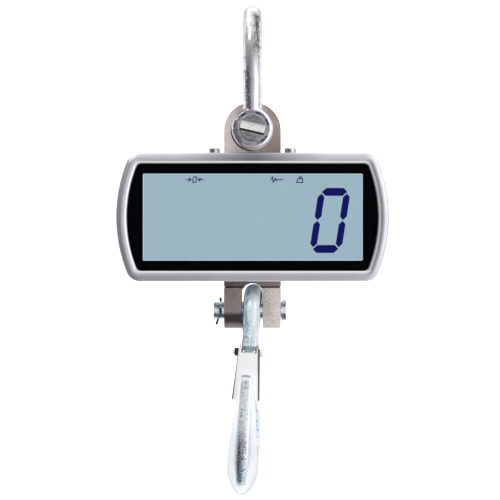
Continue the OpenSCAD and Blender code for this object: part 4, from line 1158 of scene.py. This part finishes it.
def build_case_screws():
    """The two knurled screws that hold the case to the cell's brackets."""
    low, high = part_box("case_cap_screws")
    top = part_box("cap_screw_washers")[1].z
    head_d = high.y - low.y
    key, thread_d = 5 * MM, 6 * MM
    bm = bmesh.new()
    for side in (-1, 1):
        place = turned((0, 0, 1), (side * (high.x - head_d / 2), 0, top))
        socket_screw(bm, place, head_d, high.z - top, key, thread_d, top - low.z)
    finish_mesh(bm, "case_screws_knurled", "scale", "screw_black", "case_cap_screws")


def build_housing_screws():
    """Six screws sunk in the back of the case: one at each corner and one at the middle of each end."""
    low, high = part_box("housing_screws")
    head_d, head_h = 7 * MM, 4 * MM
    key, thread_d = 3.4 * MM, 4 * MM
    corner_x, corner_z = 95.5 * MM, 43 * MM
    end_x = high.x - head_d / 2
    seat = high.y - head_h
    places = [(x, z) for x in (-corner_x, corner_x) for z in (-corner_z, corner_z)]
    places += [(-end_x, 0), (end_x, 0)]
    bm = bmesh.new()
    for x, z in places:
        place = turned((0, 1, 0), (x, seat, CASE_Z + z))
        socket_screw(bm, place, head_d, head_h, key, thread_d, seat - low.y)
    finish_mesh(bm, "housing_screws_knurled", "scale", "screw_black", "housing_screws")


def build_split_pin():
    """Bent wire through the end of the hook pin: its eye in front, its legs bent up and down behind."""
    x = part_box("hook_split_pin")[1].x - 1.5 * MM
    pin_r = 7.5 * MM
    wire = 1.05 * MM
    eye_r = 2.2 * MM
    eye_y = -pin_r - 2.6 * MM
    bm = bmesh.new()
    # Each leg's direction up or down, how far it reaches and how far it slides along the pin
    for side, reach, slide in ((1, 10.4 * MM, -0.6 * MM), (-1, 12.8 * MM, -4.2 * MM)):
        points = []
        for i in range(15):
            a = math.radians(180 - side * 172 * i / 14)
            points.append((x, eye_y + eye_r * math.cos(a), HOOK_PIN_Z + eye_r * math.sin(a)))
        for y in (-pin_r + 0.4 * MM, 0, pin_r - 0.2 * MM, pin_r + 0.7 * MM):
            points.append((x, y, HOOK_PIN_Z + side * wire))
        for t in (0.15, 0.3, 0.5, 0.75, 1.0):
            z = HOOK_PIN_Z + side * (wire + (reach - wire) * t)
            points.append((x + slide * t, pin_r + 1.2 * MM + 2.6 * MM * t, z))
        tube(bm, points, wire, sides=12)
    finish_mesh(bm, "split_pin_wire", "hook_pin", "pin_steel", "hook_split_pin", BLACK_WIRE)


def build_latch_spring():
    """Twin torsion spring wound on the latch bolt, with legs up the hook and down the latch."""
    hinge = next(j for j in frame["joints"] if j["name"] == "latch_open")
    centre, axis = Vector(hinge["pos_m"]), Vector(hinge["axis"]).normalized()
    wire, coil_r, pitch, start = 0.42 * MM, 2.9 * MM, 0.9 * MM, 4.7 * MM
    turns, steps_a_turn = 3, 18
    down = (Vector((0, 0, -1)) - axis * Vector((0, 0, -1)).dot(axis)).normalized()
    out = axis.cross(down)
    bm = bmesh.new()
    for side in (-1, 1):
        coil = []
        for i in range(turns * steps_a_turn + 1):
            a = math.radians(90 + 360 / steps_a_turn * i)
            along = side * (start + pitch * i / steps_a_turn)
            coil.append(centre + axis * along + coil_r * (math.cos(a) * -down + math.sin(a) * -out))
        lower_leg = coil[0] + down * 8 * MM + out * 1.2 * MM
        upper_leg = coil[-1] - down * 7 * MM
        tube(bm, [lower_leg] + coil + [upper_leg], wire, sides=8)
    finish_mesh(bm, "latch_spring_wire", "hook", "spring_wire", "latch_spring")


# ---------------- assembly

MATERIALS = build_materials()
BLACK_WIRE = metal("split_pin_black", (0.02, 0.024, 0.03), (0.16, 0.18, 0.20), 1.5 * MM, (0.3, 0.5))
for cad in frame["nodes"].values():
    for slot in cad.material_slots:
        slot.material = MATERIALS[slot.material.name.split(".")[0]].material
node("latch_bolt").material_slots[0].material = bolt_zinc().material
node("latch_nut").material_slots[0].material = BLACK_WIRE.material

add_camera()
add_world()
add_stage()
add_softbox("key", -34, 0.75, 1.3, (0.22, 0.7), 2.6)
add_softbox("fill", 44, 0.2, 1.3, (0.22, 1.0), 1.2)
add_softbox("top", 180, 1.1, 0.9, (1.2, 0.6), 1.5)
bpy.context.scene.view_settings.view_transform = "Standard"

# Forgings with the passes that smooth them, and machined or moulded pieces with their edges in millimetres
for name, passes in (("shackle_bow", 14), ("hook", 12)):
    forge(node(name), 0.8 * MM, passes)
for name, width in (
    ("load_cell", 0.5), ("shackle_pin", 0.3), ("rear_housing", 0.3),
    ("battery_cover", 0.4), ("rating_plate", 0.15), ("power_button", 0.3), ("button_body", 0.3),
    ("hook_pin", 0.2), ("latch", 0.25), ("latch_bolt", 0.3), ("latch_nut", 0.25),
    ("cap_screw_washers", 0.2), ("top_seal", 0.5), ("bottom_seal", 0.5),
):
    soften(node(name), width * MM)
for cad in frame["nodes"].values():
    if not cad.modifiers:
        shade(cad)

build_bezel()
build_glass()
build_print()
build_lcd_rim()
build_segments()
build_pin_slot()
build_case_screws()
build_housing_screws()
build_split_pin()
build_latch_spring()
